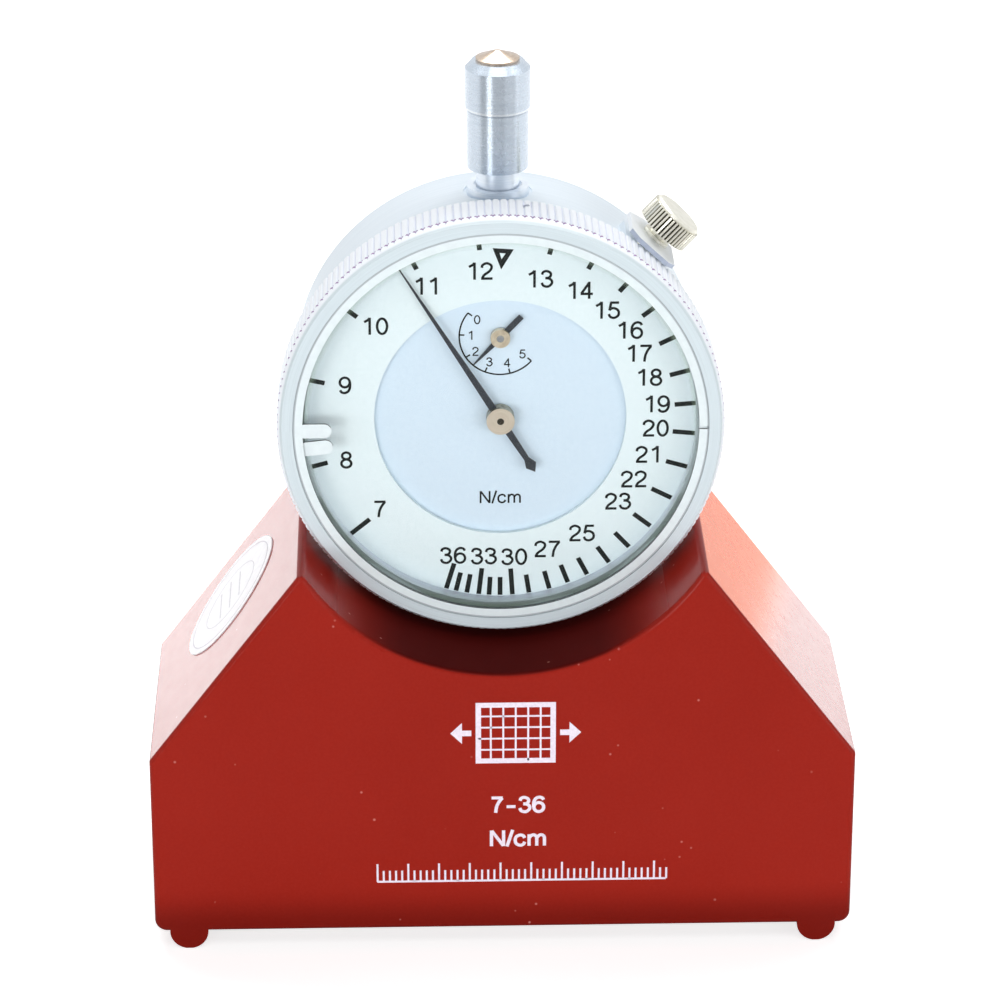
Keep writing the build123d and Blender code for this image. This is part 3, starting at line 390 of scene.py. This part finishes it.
def make_knob():
    """Nickel plate, with painted shade at the bottom of the knurl's grooves."""
    s = Surface("nickel", srgb(234, 231, 218), metallic=1.0, roughness=0.32)
    aim = Vector((sin(KNOB_TURN), 0, cos(KNOB_TURN)))
    start = s.vector("SUBTRACT", s.place, (DIAL + Vector((0, -KNOB_AHEAD, 0))) * MM)
    along = s.vector("DOT_PRODUCT", start, aim)
    reach = s.vector("LENGTH", s.vector("CROSS_PRODUCT", start, aim))
    groove = s.times(s.between(reach, *KNOB_RIM, 1.0, 0.0), s.between(reach, *KNOB_BOTTOM, 0.0, 1.0))
    side = s.between(along, *KNOB_END, 1.0, 0.0)
    plate = s.ramp(s.noise(900.0, detail=3.0), (0.3, srgb(226, 224, 210)), (0.7, srgb(242, 239, 228)))
    # Painted shade: dark at the bottom of the grooves along the knob's side
    s.colours(s.mixed(s.times(groove, side), plate, srgb(92, 88, 64)))
    s.rough(s.noise(1700.0), 0.28, 0.36)
    s.bump(s.noise(2600.0), 0.002, 0.3)
    return s


def make_edged(name, dark, light, edge, roughness, metallic, full=-0.92, none=-0.70):
    """A thin plate coloured by which way its faces look: the face that looks to the front takes the face
    colour, while the narrow edges and other faces take the edge colour, a painted light where it is pale and
    a painted shade where it is dark.
    """
    s = Surface(name, light, metallic=metallic, roughness=roughness)
    face = s.ramp(s.noise(900.0, detail=4.0), (0.3, dark), (0.72, light))
    # Painted light and shade by facing: the edge colour on faces that do not look to the front
    s.colours(s.mixed(s.towards_reader(full, none), edge, face))
    s.rough(s.noise(1500.0), roughness - 0.03, roughness + 0.03)
    return s


def make_limit_ring():
    """Thin bright ring: painted shade on its edges, and a greyer painted shade along its seat in the bezel,
    where the gap to the bezel is.
    """
    s = make_edged("limit_chrome", srgb(226, 236, 239), srgb(233, 243, 245), srgb(66, 70, 75), 0.34, 0.12)
    low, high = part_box("limit_ring_upper")
    outer = (high.x - low.x) / 2
    # Painted shade of the gap along the ring's seat in the bezel
    seat = s.between(s.reach(), outer - 0.26 * MM, outer - 0.14 * MM, 0.0, 1.0)
    return s.colours(s.mixed(seat, s.colour(), srgb(180, 188, 193)))


def make_hub():
    """Turned brass: a pale face, and painted shade on its side."""
    s = Surface("hub_face", srgb(216, 202, 182), metallic=1.0, roughness=0.30)
    rings = s.noise(1.0, detail=3.0, vector=s.around_dial(7000.0, 0.4))
    face = s.ramp(rings, (0.3, srgb(216, 202, 182)), (0.7, srgb(234, 222, 205)))
    side = s.ramp(s.noise(1400.0, detail=2.0), (0.35, srgb(120, 112, 94)), (0.65, srgb(190, 184, 166)))
    # Painted shade: the side darker than the face
    s.colours(s.mixed(s.towards_reader(), side, face))
    s.rough(s.noise(1800.0), 0.26, 0.34)
    s.bump(rings, 0.002, 0.3)
    return s


def make_small_hub():
    """Brass hub of the small pointer: a pale rim round painted shade in its middle, where the hole and the
    end of its arbor are.
    """
    s = Surface("small_hub_brass", srgb(220, 206, 180), metallic=1.0, roughness=0.30)
    low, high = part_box("small_hub")
    away = s.vector("SUBTRACT", s.place, (low + high) / 2)
    reach = s.vector("LENGTH", s.vector("MULTIPLY", away, (1, 0, 1)))
    radius = (high.x - low.x) / 2
    brass = s.ramp(s.noise(1400.0, detail=2.0), (0.35, srgb(208, 192, 166)), (0.65, srgb(228, 215, 192)))
    # Painted shade in the hole at the hub's middle
    hole = s.between(reach, radius * 0.30, radius * 0.42, 1.0, 0.0)
    s.colours(s.mixed(hole, brass, srgb(84, 78, 66)))
    s.rough(s.noise(1800.0), 0.26, 0.34)
    return s


def make_arbor():
    """Pinion steel with painted shade on its front end, where it shows in the hole of the hub."""
    s = Surface("arbor_steel", srgb(166, 168, 172), metallic=1.0, roughness=0.32)
    steel = s.ramp(s.noise(900.0, detail=4.0), (0.3, srgb(150, 152, 156)), (0.72, srgb(184, 186, 190)))
    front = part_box("centre_pinion")[0].y
    # Painted shade on the front end, in the hole of the hub
    end = s.between(s.parts(s.place)[1], front + 0.3 * MM, front + 0.6 * MM, 1.0, 0.0)
    s.colours(s.mixed(end, steel, srgb(70, 62, 56)))
    s.rough(s.noise(1500.0), 0.28, 0.36)
    return s


def make_dial(name, dark, light):
    """Even matt paint."""
    s = Surface(name, light, roughness=0.52, specular=0.35)
    s.colours(s.ramp(s.noise(1800.0, detail=2.0), (0.3, dark), (0.7, light)))
    s.rough(s.noise(900.0), 0.46, 0.58)
    s.bump(s.noise(5200.0, detail=2.0), 0.002, 0.35)
    return s


def make_black():
    s = Surface("pointer_black", srgb(40, 42, 52), roughness=0.30, specular=0.5)
    s.colours(s.ramp(s.noise(2400.0), (0.3, srgb(32, 34, 44)), (0.7, srgb(46, 48, 60))))
    s.bump(s.noise(6000.0), 0.002, 0.4)
    return s


def make_crystal():
    """Clear, and a little less so along its rim."""
    s = Surface("crystal_clear", srgb(176, 204, 176), roughness=0.03, specular=0.6, alpha=0.02, ior=1.49)
    s.set("Alpha", s.between(s.reach(), 24.2 * MM, 25.2 * MM, 0.012, 0.22))
    s.rough(s.noise(160.0), 0.02, 0.06)
    return s


def make_print(name, dark, light):
    s = Surface(name, light, roughness=0.45, specular=0.20)
    s.colours(s.ramp(s.noise(3000.0), (0.3, dark), (0.7, light)))
    s.bump(s.noise(5200.0), 0.002, 0.4)
    return s


surfaces = {
    "red_enamel": make_enamel(),
    "label_film": make_label(),
    "satin_silver": make_satin("satin_silver", srgb(222, 232, 240), srgb(231, 240, 247), 0.003),
    "dark_steel": make_metal("dark_steel", srgb(58, 58, 62), srgb(86, 86, 92), 0.38),
    "steel": make_metal("steel", srgb(186, 190, 196), srgb(214, 218, 224), 0.30),
    "bright_chrome": make_turned("bright_chrome", srgb(198, 209, 221), srgb(214, 223, 233), 0.30, 0.85),
    "screw_steel": make_metal("screw_steel", srgb(166, 168, 172), srgb(196, 198, 204), 0.28),
    "brass": make_metal("brass", srgb(214, 196, 160), srgb(238, 222, 188), 0.22),
    "hub_brass": make_metal("hub_brass", srgb(204, 184, 152), srgb(228, 211, 182), 0.26),
    "pinion_steel": make_metal("pinion_steel", srgb(150, 152, 156), srgb(184, 186, 190), 0.30),
    "spring_steel": make_metal("spring_steel", srgb(206, 212, 218), srgb(232, 238, 242), 0.28),
    "nickel": make_knob(),
    "pointer_black": make_black(),
    "dial_blue": make_dial("dial_blue", srgb(206, 224, 238), srgb(211, 228, 241)),
    "dial_white": make_dial("dial_white", srgb(223, 237, 240), srgb(228, 241, 244)),
    "crystal_clear": make_crystal(),
}
# Pieces whose finish differs a little from the rest of their slot, several with painted light and shade of
# their own
limit_ring = make_limit_ring()
special = {
    "lifting_cap": make_cap("cap_chrome", srgb(194, 205, 217), srgb(211, 220, 230)),
    "limit_ring_upper": limit_ring,
    "limit_ring_lower": limit_ring,
    "bezel_ring": make_bezel(),
    "upper_bushing": make_turned("bushing_steel", srgb(222, 230, 240), srgb(238, 244, 250), 0.36, 0.5),
    "cap_screw": make_metal("cone_brass", srgb(190, 170, 152), srgb(208, 192, 176), 0.22, 0.04, relief=0.001),
    # Painted light: the plate's top and edges pale, its face to the front grey-blue
    "clamp_plate": make_edged("plate_steel", srgb(172, 181, 200), srgb(186, 195, 212), srgb(244, 248, 252),
                              0.34, 0.20, full=-0.62, none=-0.50),
    "pointer_hub": make_hub(),
    "centre_pinion": make_arbor(),
    "small_hub": make_small_hub(),
}
scale_ink = make_print("scale_ink", srgb(10, 9, 15), srgb(19, 18, 26))
front_ink = make_print("front_ink", srgb(228, 216, 230), srgb(242, 233, 244))
label_ink = make_print("label_ink", srgb(206, 202, 210), srgb(222, 218, 224))

for name, node in nodes.items():
    for material_slot in node.material_slots:
        slot_name = material_slot.material.name.split(".")[0]
        material_slot.material = special.get(name, surfaces[slot_name]).material


# ---------------------------------------------------------------- printed marks

def placed(name, mesh, material):
    """Puts a bmesh into the scene as an object with that name and material."""
    data = bpy.data.meshes.new(name)
    mesh.to_mesh(data)
    mesh.free()
    data.materials.append(material)
    made = bpy.data.objects.new(name, data)
    scene.collection.objects.link(made)
    return made


def spline(points, steps=7):
    """A smooth run through all the points."""
    ends = [2 * Vector(points[0]) - Vector(points[1])] + [Vector(p) for p in points]
    ends.append(2 * Vector(points[-1]) - Vector(points[-2]))
    run = []
    for index in range(1, len(ends) - 2):
        before, start, finish, after = ends[index - 1:index + 3]
        for step in range(steps):
            t = step / steps
            run.append(0.5 * (2 * start + (finish - before) * t
                              + (2 * before - 5 * start + 4 * finish - after) * t * t
                              + (3 * start - before - 3 * finish + after) * t ** 3))
    run.append(ends[-2])
    return run


def oval(x, y, across, up, steps=40):
    turn = [2 * pi * step / steps for step in range(steps)]
    return [Vector((x + across * cos(a), y + up * sin(a))) for a in turn]


# The three kinds of stroke that a figure is made of, each with whether it is closed
def straight(x0, y0, x1, y1):
    return [Vector((x0, y0)), Vector((x1, y1))], False


def curve(*points):
    return spline(points), False


def ring(x, y, across, up):
    return oval(x, y, across, up), True


# Strokes of each figure, in shares of its em
STROKE, TALL, WIDE = 0.076, 0.716, 0.556
FIGURES = {
    "0": [ring(0.275, 0.353, 0.196, 0.322)],
    "1": [straight(0.345, 0.716, 0.345, 0.0),
          curve((0.345, 0.700), (0.27, 0.615), (0.125, 0.535))],
    "2": [curve((0.075, 0.495), (0.11, 0.61), (0.265, 0.680), (0.425, 0.61), (0.455, 0.49), (0.37, 0.345),
                (0.17, 0.19), (0.085, 0.04)),
          straight(0.045, 0.041, 0.495, 0.041)],
    "3": [curve((0.085, 0.535), (0.13, 0.64), (0.26, 0.680), (0.40, 0.62), (0.43, 0.515), (0.36, 0.41),
                (0.215, 0.388)),
          curve((0.215, 0.388), (0.37, 0.365), (0.468, 0.27), (0.465, 0.16), (0.37, 0.055), (0.26, 0.030),
                (0.13, 0.08), (0.075, 0.195))],
    "4": [straight(0.365, 0.0, 0.365, 0.716),
          straight(0.375, 0.69, 0.055, 0.215),
          straight(0.03, 0.207, 0.51, 0.207)],
    "5": [straight(0.135, 0.672, 0.475, 0.672),
          straight(0.165, 0.69, 0.10, 0.345),
          curve((0.09, 0.352), (0.17, 0.425), (0.29, 0.435), (0.42, 0.365), (0.47, 0.235), (0.42, 0.10),
                (0.27, 0.030), (0.13, 0.08), (0.075, 0.195))],
    "6": [curve((0.475, 0.565), (0.42, 0.65), (0.30, 0.685), (0.17, 0.63), (0.095, 0.50), (0.078, 0.34),
                (0.078, 0.24)),
          ring(0.285, 0.235, 0.196, 0.205)],
    "7": [straight(0.05, 0.672, 0.50, 0.672),
          curve((0.478, 0.665), (0.35, 0.49), (0.255, 0.27), (0.215, 0.0))],
    "8": [ring(0.275, 0.535, 0.165, 0.146), ring(0.275, 0.203, 0.196, 0.173)],
    "-": [straight(0.10, 0.27, 0.46, 0.27)],
    "/": [straight(0.02, -0.02, 0.25, 0.735)],
    "N": [straight(0.115, 0.0, 0.115, 0.716),
          straight(0.125, 0.70, 0.595, 0.016),
          straight(0.605, 0.0, 0.605, 0.716)],
    "c": [curve((0.455, 0.36), (0.40, 0.46), (0.27, 0.495), (0.12, 0.42), (0.075, 0.26), (0.12, 0.10),
                (0.27, 0.028), (0.40, 0.07), (0.46, 0.18))],
    "m": [straight(0.105, 0.0, 0.105, 0.52),
          curve((0.105, 0.36), (0.20, 0.47), (0.30, 0.495), (0.395, 0.43), (0.415, 0.32), (0.415, 0.0)),
          curve((0.415, 0.36), (0.51, 0.47), (0.61, 0.495), (0.705, 0.43), (0.725, 0.32), (0.725, 0.0))],
}
# A 9 is a 6 that is turned upside down
FIGURES["9"] = [([Vector((0.55, 0.706)) - p for p in run], closed) for run, closed in FIGURES["6"]]
ADVANCE = {"N": 0.722, "c": 0.53, "m": 0.833, "/": 0.278}

# How far the underside and the lowest top of a mark stand off the face, and the tops' small steps
INK_UNDER, INK_TOP, INK_STEP, INK_LEVELS = 0.004, 0.02, 0.0012, 7


class Sheet:
    """Flat marks on one plane, in millimetres, collected into one thin mesh."""

    def __init__(self, origin, across, up):
        self.origin = Vector(origin)
        self.across = Vector(across).normalized()
        self.up = Vector(up).normalized()
        self.out = self.across.cross(self.up)
        self.mesh = bmesh.new()
        self.marks = 0

    def top(self):
        """The height of the next mark, a little off its neighbours' so that overlaps stay clean."""
        self.marks += 1
        return INK_TOP + INK_STEP * (self.marks % INK_LEVELS)

    def corners(self, points, lift):
        """New corners of the mesh over those points of the plane."""
        return [self.mesh.verts.new((self.origin + self.across * x + self.up * y + self.out * lift) * MM)
                for x, y in points]

    def loop(self, points):
        """A filled outline, anticlockwise."""
        low, high = [self.corners(points, lift) for lift in (INK_UNDER, self.top())]
        self.mesh.faces.new(high)
        self.mesh.faces.new(list(reversed(low)))
        for index in range(len(low)):
            after = (index + 1) % len(low)
            self.mesh.faces.new((low[index], low[after], high[after], high[index]))

    def stroke(self, points, width, closed=False):
        """A band of even width along a run of points."""
        points = [Vector(p) for p in points]
        count = len(points)
        left, right = [], []
        for index, point in enumerate(points):
            before = points[index - 1] if index or closed else point
            after = points[(index + 1) % count] if index + 1 < count or closed else point
            along = (after - before).normalized()
            side = Vector((-along.y, along.x)) * width / 2
            left.append(point + side)
            right.append(point - side)
        (low_left, low_right), (high_left, high_right) = [
            [self.corners(row, lift) for row in (left, right)] for lift in (INK_UNDER, self.top())]
        for index in range(count if closed else count - 1):
            after = (index + 1) % count
            for row, beside in ((high_right, high_left), (low_left, low_right),
                                (low_right, high_right), (high_left, low_left)):
                self.mesh.faces.new((row[index], row[after], beside[after], beside[index]))
        if not closed:
            for index in (0, count - 1):
                self.mesh.faces.new((low_left[index], low_right[index], high_right[index], high_left[index]))

    def text(self, words, x, y, height, weight):
        """Figures with their middle at x, y, and that cap height."""
        em = height / TALL
        pen = -sum(ADVANCE.get(letter, WIDE) for letter in words) / 2
        for letter in words:
            for run, closed in FIGURES[letter]:
                written = [Vector((x + (p.x + pen) * em, y + (p.y - TALL / 2) * em)) for p in run]
                self.stroke(written, STROKE * em * weight, closed)
            pen += ADVANCE.get(letter, WIDE)

    def bar(self, angle, inner, outer, width):
        """A radial tick at an angle from the top, clockwise."""
        a = radians(angle)
        out, side = Vector((sin(a), cos(a))), Vector((cos(a), -sin(a))) * width / 2
        self.loop([out * inner + side, out * outer + side, out * outer - side, out * inner - side])

    def finish(self, name, surface, body, slot_name):
        bmesh.ops.recalc_face_normals(self.mesh, faces=self.mesh.faces)
        made = placed(name, self.mesh, surface.material)
        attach(made, body)


def dial_sheet(ahead, rise=0.0):
    return Sheet(DIAL + Vector((0, -ahead, rise)), (1, 0, 0), (0, 0, 1))


# Value, angle from the top, clockwise, and the inner and outer ends of each mark of the scale
SCALE = [
    (7, 230.4, 21.85, 25.0), (8, 255.0, 22.9, 25.0), (9, 282.8, 22.9, 25.0), (10, 307.8, 22.9, 24.7),
    (11, 332.7, 22.95, 24.6), (12, 353.5, 23.05, 24.6), (13, 15.5, 23.05, 24.6), (14, 28.7, 23.05, 24.6),
    (15, 41.2, 22.8, 24.7), (16, 52.5, 22.65, 24.8), (17, 63.7, 22.5, 24.9), (18, 75.2, 22.3, 25.0),
    (19, 85.8, 22.3, 25.0), (20, 95.4, 22.15, 25.0), (21, 106.3, 22.15, 25.0), (22, 117.3, 21.9, 24.8),
    (23, 128.3, 21.9, 24.7), (24, 137.6, 21.95, 24.7), (25, 145.4, 22.1, 24.8), (26, 153.0, 22.15, 24.8),
    (27, 159.3, 22.15, 24.8), (28, 165.2, 22.3, 24.9), (29, 171.4, 22.3, 24.9), (30, 176.4, 21.2, 24.9),
    (31, 180.1, 22.35, 24.9), (32, 183.4, 22.35, 24.9), (33, 186.5, 21.2, 24.9), (34, 190.1, 22.25, 24.9),
    (35, 193.4, 22.25, 24.9), (36, 196.4, 21.2, 24.9),
]
# Value, angle and distance from the dial's axis of each figure
SCALE_FIGURES = [
    (7, 231.1, 19.9), (8, 254.2, 20.5), (9, 283.6, 20.3), (10, 308.9, 20.35), (11, 333.0, 20.35),
    (12, 352.7, 20.25), (13, 14.7, 19.6), (14, 30.0, 20.05), (15, 42.6, 19.9), (16, 54.0, 20.25),
    (17, 63.6, 19.65), (18, 74.0, 19.7), (19, 85.0, 20.05), (20, 94.6, 19.95), (21, 105.4, 19.75),
    (22, 116.8, 19.25), (23, 127.8, 19.2), (25, 146.9, 19.35), (27, 161.7, 19.4), (30, 174.7, 19.55),
    (33, 186.3, 19.45), (36, 197.7, 20.15),
]
# Outer and inner edge of the triangle beside the 12
TRIANGLE_OUTER = [Vector(p) for p in ((-0.98, 23.15), (0.10, 20.28), (1.68, 22.95))]
TRIANGLE_INNER = [Vector(p) for p in ((-0.10, 22.50), (0.15, 21.64), (0.66, 22.42))]
scale = dial_sheet(OUTER_FACE)
for _, angle, inner, outer in SCALE:
    scale.bar(angle, inner, outer, width=0.62)
for value, angle, distance in SCALE_FIGURES:
    a = radians(angle)
    scale.text(str(value), distance * sin(a), distance * cos(a), height=2.3, weight=1.34)
for corner in range(3):
    after = (corner + 1) % 3
    scale.loop([TRIANGLE_OUTER[corner], TRIANGLE_INNER[corner], TRIANGLE_INNER[after], TRIANGLE_OUTER[after]])
scale.finish("scale_marks", scale_ink, "bezel", "pointer_black")

# The small dial runs anticlockwise from 0 to 5
COUNTER_START, COUNTER_STEP, ARC_STEPS = 51.5, 35.6, 72
COUNTER_RADIUS, COUNTER_TICK, COUNTER_FIGURE, COUNTER_LINE = 5.2, 4.55, 3.72, 0.2
counter = dial_sheet(INNER_FACE, SUB_DIAL_RISE)
arc = [radians(COUNTER_START + COUNTER_STEP * 5 * index / ARC_STEPS) for index in range(ARC_STEPS + 1)]
counter.stroke([(-COUNTER_RADIUS * sin(a), COUNTER_RADIUS * cos(a)) for a in arc], COUNTER_LINE)
for value in range(6):
    angle = -(COUNTER_START + COUNTER_STEP * value)
    counter.bar(angle, COUNTER_TICK, COUNTER_RADIUS, COUNTER_LINE)
    a = radians(angle)
    counter.text(str(value), COUNTER_FIGURE * sin(a), COUNTER_FIGURE * cos(a), height=1.2, weight=1.3)
counter.finish("counter_marks", scale_ink, "base", "pointer_black")

unit = dial_sheet(INNER_FACE)
unit.text("N/cm", 0.0, -11.3, height=1.7, weight=1.3)
unit.finish("dial_unit", scale_ink, "base", "pointer_black")

# Front of the block: a plain sign of a stretched mesh, the range, the unit and a ruled line
front = Sheet((1.6, BLOCK_FRONT, 0), (1, 0, 0), (0, 0, 1))
SIGN_Z, SIGN_WIDE, SIGN_TALL, SIGN_FRAME = 31.0, 9.6, 8.0, 0.7
MESH_COLUMNS, MESH_ROWS, MESH_LINE = 6, 5, 0.24
ARROW_GAP, ARROW_LENGTH, ARROW_HEAD, ARROW_SHAFT = 0.9, 2.7, 1.5, 0.8
edge = [Vector((x * SIGN_WIDE / 2, z * SIGN_TALL / 2)) for x, z in ((-1, -1), (1, -1), (1, 1), (-1, 1))]
for start, finish in zip(edge, edge[1:] + edge[:1]):
    along = (finish - start).normalized() * SIGN_FRAME / 2
    front.stroke([Vector((0, SIGN_Z)) + start - along, Vector((0, SIGN_Z)) + finish + along], SIGN_FRAME)
for index in range(1, MESH_COLUMNS):
    x = SIGN_WIDE * (index / MESH_COLUMNS - 0.5)
    front.stroke([(x, SIGN_Z - SIGN_TALL / 2), (x, SIGN_Z + SIGN_TALL / 2)], MESH_LINE)
for index in range(1, MESH_ROWS):
    z = SIGN_Z + SIGN_TALL * (index / MESH_ROWS - 0.5)
    front.stroke([(-SIGN_WIDE / 2, z), (SIGN_WIDE / 2, z)], MESH_LINE)
for side in (-1, 1):
    base = side * (SIGN_WIDE / 2 + ARROW_GAP)
    tip = base + side * ARROW_LENGTH
    front.stroke([(base, SIGN_Z), (tip - side * 1.2, SIGN_Z)], ARROW_SHAFT)
    neck = tip - side * ARROW_HEAD
    head = [(tip, SIGN_Z), (neck, SIGN_Z + ARROW_HEAD), (neck, SIGN_Z - ARROW_HEAD)]
    front.loop(head if side > 0 else head[::-1])
for words, z in (("7-36", 20.6), ("N/cm", 15.7)):
    front.text(words, 0.3, z, height=2.3, weight=1.75)
RULE_Z, RULE_STEP, RULE_TICKS = 9.5, 0.8, 48
front.stroke([(-18.0, RULE_Z), (19.6, RULE_Z)], width=0.28)
for index in range(RULE_TICKS):
    tall = 2.6 if index % 5 == 0 else 1.6
    x = -17.9 + RULE_STEP * index - 0.05
    front.stroke([(x, RULE_Z), (x, RULE_Z + tall)], width=0.26)
front.finish("front_marks", front_ink, "base", "label_film")

# Round label on the left slant: two circles and three short lines
LABEL_OUTER, LABEL_INNER, LABEL_ROW = 8.35, 5.3, 2.1
slant = Vector((20.0, 0, 26.5)).normalized()
low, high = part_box("inspection_label")
label_middle = (low + high) / 2 / MM
label = Sheet(label_middle + Vector((-slant.z, 0, slant.x)) * LABEL_HALF, (0, -1, 0), slant)
for radius, width in ((LABEL_OUTER, 0.16), (LABEL_INNER, 0.10)):
    label.stroke(oval(0, 0, radius, radius, 96), width, closed=True)
for row in (-1, 0, 1):
    half = sqrt(LABEL_INNER ** 2 - (row * LABEL_ROW) ** 2) * 0.74
    label.stroke([(-half, row * LABEL_ROW), (half, row * LABEL_ROW)], width=0.16)
label.finish("label_marks", label_ink, "base", "label_film")


# ---------------------------------------------------------------- return spring

# In the gauge the coil's foot stays on its post in the case while its head moves with the spindle; here the
# coil is drawn still, from its foot up to its head
COIL_WIRE, COIL_TURNS, COIL_STEPS, COIL_SIDES = 0.3 * MM, 26, 32, 12
low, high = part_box("return_spring")
coil_middle, coil_reach = (low + high) / 2, (high.x - low.x - COIL_WIRE) / 2
coil_foot = Vector((coil_middle.x, coil_middle.y, low.z + COIL_WIRE / 2))
coil_head = Vector((coil_middle.x, coil_middle.y, high.z - COIL_WIRE / 2))
coil_mesh, rings = bmesh.new(), []
for index in range(COIL_TURNS * COIL_STEPS + 1):
    angle = 2 * pi * index / COIL_STEPS
    out = Vector((cos(angle), sin(angle), 0))
    middle = coil_foot.lerp(coil_head, index / (COIL_TURNS * COIL_STEPS)) + out * coil_reach
    around = [2 * pi * side / COIL_SIDES for side in range(COIL_SIDES)]
    rings.append([coil_mesh.verts.new(middle + (out * cos(a) + Vector((0, 0, sin(a)))) * COIL_WIRE / 2)
                  for a in around])
for circle, following in zip(rings, rings[1:]):
    for side in range(COIL_SIDES):
        face = coil_mesh.faces.new((circle[side - 1], circle[side], following[side], following[side - 1]))
        face.smooth = True
coil_mesh.faces.new(rings[0])
coil_mesh.faces.new(rings[-1])
bmesh.ops.recalc_face_normals(coil_mesh, faces=coil_mesh.faces)
coil = placed("return_coil", coil_mesh, surfaces["spring_steel"].material)
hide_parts("return_spring")
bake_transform(coil)


# ---------------------------------------------------------------- floor and room

FLOOR_HALF, FLOOR_Z = 4, -0.00002
FLOOR_SHINE, FLOOR_DIM = 0.60, 0.20      # how white the floor is in reflections, and its share ahead
ROOM_DIM, BAND = 0.12, 3.55              # the room's share ahead, and the strength of its soft light


def make_paper():
    """White to the camera and, behind the object, to reflections; grey to the light that falls on it."""
    paper = bpy.data.materials.new("floor_paper")
    paper.use_nodes = True
    s = Nodes(paper.node_tree)
    s.tree.nodes.clear()
    place = s.coordinates("Object")
    x, y, _ = s.parts(place)
    straight_ray, mirrored_ray = s.rays()
    outward = s.times(s.math("ABSOLUTE", x), 0.6)
    behind = s.between(s.math("ADD", outward, y), 0.0, 0.12, FLOOR_SHINE * FLOOR_DIM, FLOOR_SHINE)
    white = s.between(s.vector("LENGTH", place), 0.6, 1.6, 0.72, 1.0)
    diffuse, glow = s.node("ShaderNodeBsdfDiffuse"), s.node("ShaderNodeEmission")
    diffuse.inputs["Color"].default_value = (0.80, 0.80, 0.80, 1)
    glow.inputs["Color"].default_value = (1, 1, 1, 1)
    s.link(s.math("MAXIMUM", s.times(straight_ray, white), s.times(mirrored_ray, behind)),
           glow.inputs["Strength"])
    both = s.node("ShaderNodeAddShader")
    s.link(diffuse.outputs[0], both.inputs[0])
    s.link(glow.outputs[0], both.inputs[1])
    s.link(both.outputs[0], s.node("ShaderNodeOutputMaterial").inputs["Surface"])
    return paper


def make_room():
    """White to the camera, to reflections white behind, beside and above the object, and for soft light
    a pale band along the horizon."""
    room = bpy.data.worlds.new("studio")
    room.use_nodes = True
    s = Nodes(room.node_tree)
    s.tree.nodes.clear()
    _, y, z = s.parts(s.coordinates("Generated"))
    straight_ray, mirrored_ray = s.rays()
    lean = s.math("ADD", s.times(y, 0.8), s.times(z, 0.6))
    mirrored = s.times(mirrored_ray, s.between(lean, -0.6, 0.0, ROOM_DIM, 1.0))
    level = s.between(s.math("ABSOLUTE", z), 0.05, 0.50, 1.0, 0.0)
    ahead = s.between(y, -0.80, 0.05, 1.0, 0.28)
    unseen = s.math("SUBTRACT", 1.0, s.math("MAXIMUM", straight_ray, mirrored_ray))
    soft = s.times(unseen, s.times(level, ahead, BAND))
    background = s.node("ShaderNodeBackground")
    background.inputs["Color"].default_value = (0.97, 0.985, 1.0, 1)
    s.link(s.math("ADD", s.math("ADD", straight_ray, mirrored), soft), background.inputs["Strength"])
    s.link(background.outputs[0], s.node("ShaderNodeOutputWorld").inputs["Surface"])
    return room


floor_mesh = bmesh.new()
floor_mesh.faces.new([floor_mesh.verts.new((x * FLOOR_HALF, y * FLOOR_HALF, FLOOR_Z))
                      for x, y in ((-1, -1), (1, -1), (1, 1), (-1, 1))])
floor = placed("floor", floor_mesh, make_paper())
floor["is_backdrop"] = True
scene.world = make_room()


# ---------------------------------------------------------------- lights and camera

def look(made, place, aim):
    """Puts a light or a camera at its place, looking at a point, and into the scene."""
    made.location = place
    made.rotation_euler = (Vector(aim) - Vector(place)).to_track_quat("-Z", "Y").to_euler()
    scene.collection.objects.link(made)


def lamp(name, place, aim, size, power, colour=(1, 1, 1), spread=180.0):
    data = bpy.data.lights.new(name, "AREA")
    data.shape = "RECTANGLE"
    data.size, data.size_y = size
    data.energy = power
    data.color = colour
    data.spread = radians(spread)
    made = bpy.data.objects.new(name, data)
    made.visible_camera = False
    look(made, place, aim)


lamp("key_softbox", (-0.40, -0.69, 0.11), (0, 0, 0.06), (0.23, 0.20), 1.05)
lamp("front_softbox", (0.0, -0.80, 0.10), (0, 0, 0.05), (0.50, 0.16), 0.13)
lamp("fill_softbox", (0.62, -0.55, 0.13), (0, 0, 0.06), (0.80, 0.22), 0.8)
lamp("top_softbox", (0.04, 0.30, 0.70), (0, 0.10, 0), (0.80, 0.40), 4.2)
lamp("high_softbox", (0.0, -0.34, 0.66), (0, -0.08, 0), (0.60, 0.30), 0.7)
# Small cards behind the block, close to the floor, that only its slants reflect
WHITE, WARM, NARROW = (1, 1, 1), (1.0, 0.22, 0.02), 34.0
lamp("card_left", (-0.085, 0.100, 0.024), (-0.035, -0.010, 0.043), (0.10, 0.044), 0.00118, WHITE, NARROW)
lamp("card_right", (0.080, 0.085, 0.011), (0.041, -0.003, 0.031), (0.10, 0.020), 0.00033, WHITE, NARROW)
lamp("card_warm", (0.070, 0.085, 0.033), (0.031, -0.003, 0.053), (0.10, 0.024), 0.0005, WARM, NARROW)

camera_data = bpy.data.cameras.new("photo_camera")
camera_data.sensor_width = 36.0
camera_data.lens = 154.01
camera_data.clip_start = 0.02
camera_data.clip_end = 20.0
camera = bpy.data.objects.new("photo_camera", camera_data)
look(camera, (-0.01357, -0.50716, 0.28075), (0.0003, 0.00895, 0.05185))
scene.camera = camera

scene.view_settings.view_transform = "Standard"

low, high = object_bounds()
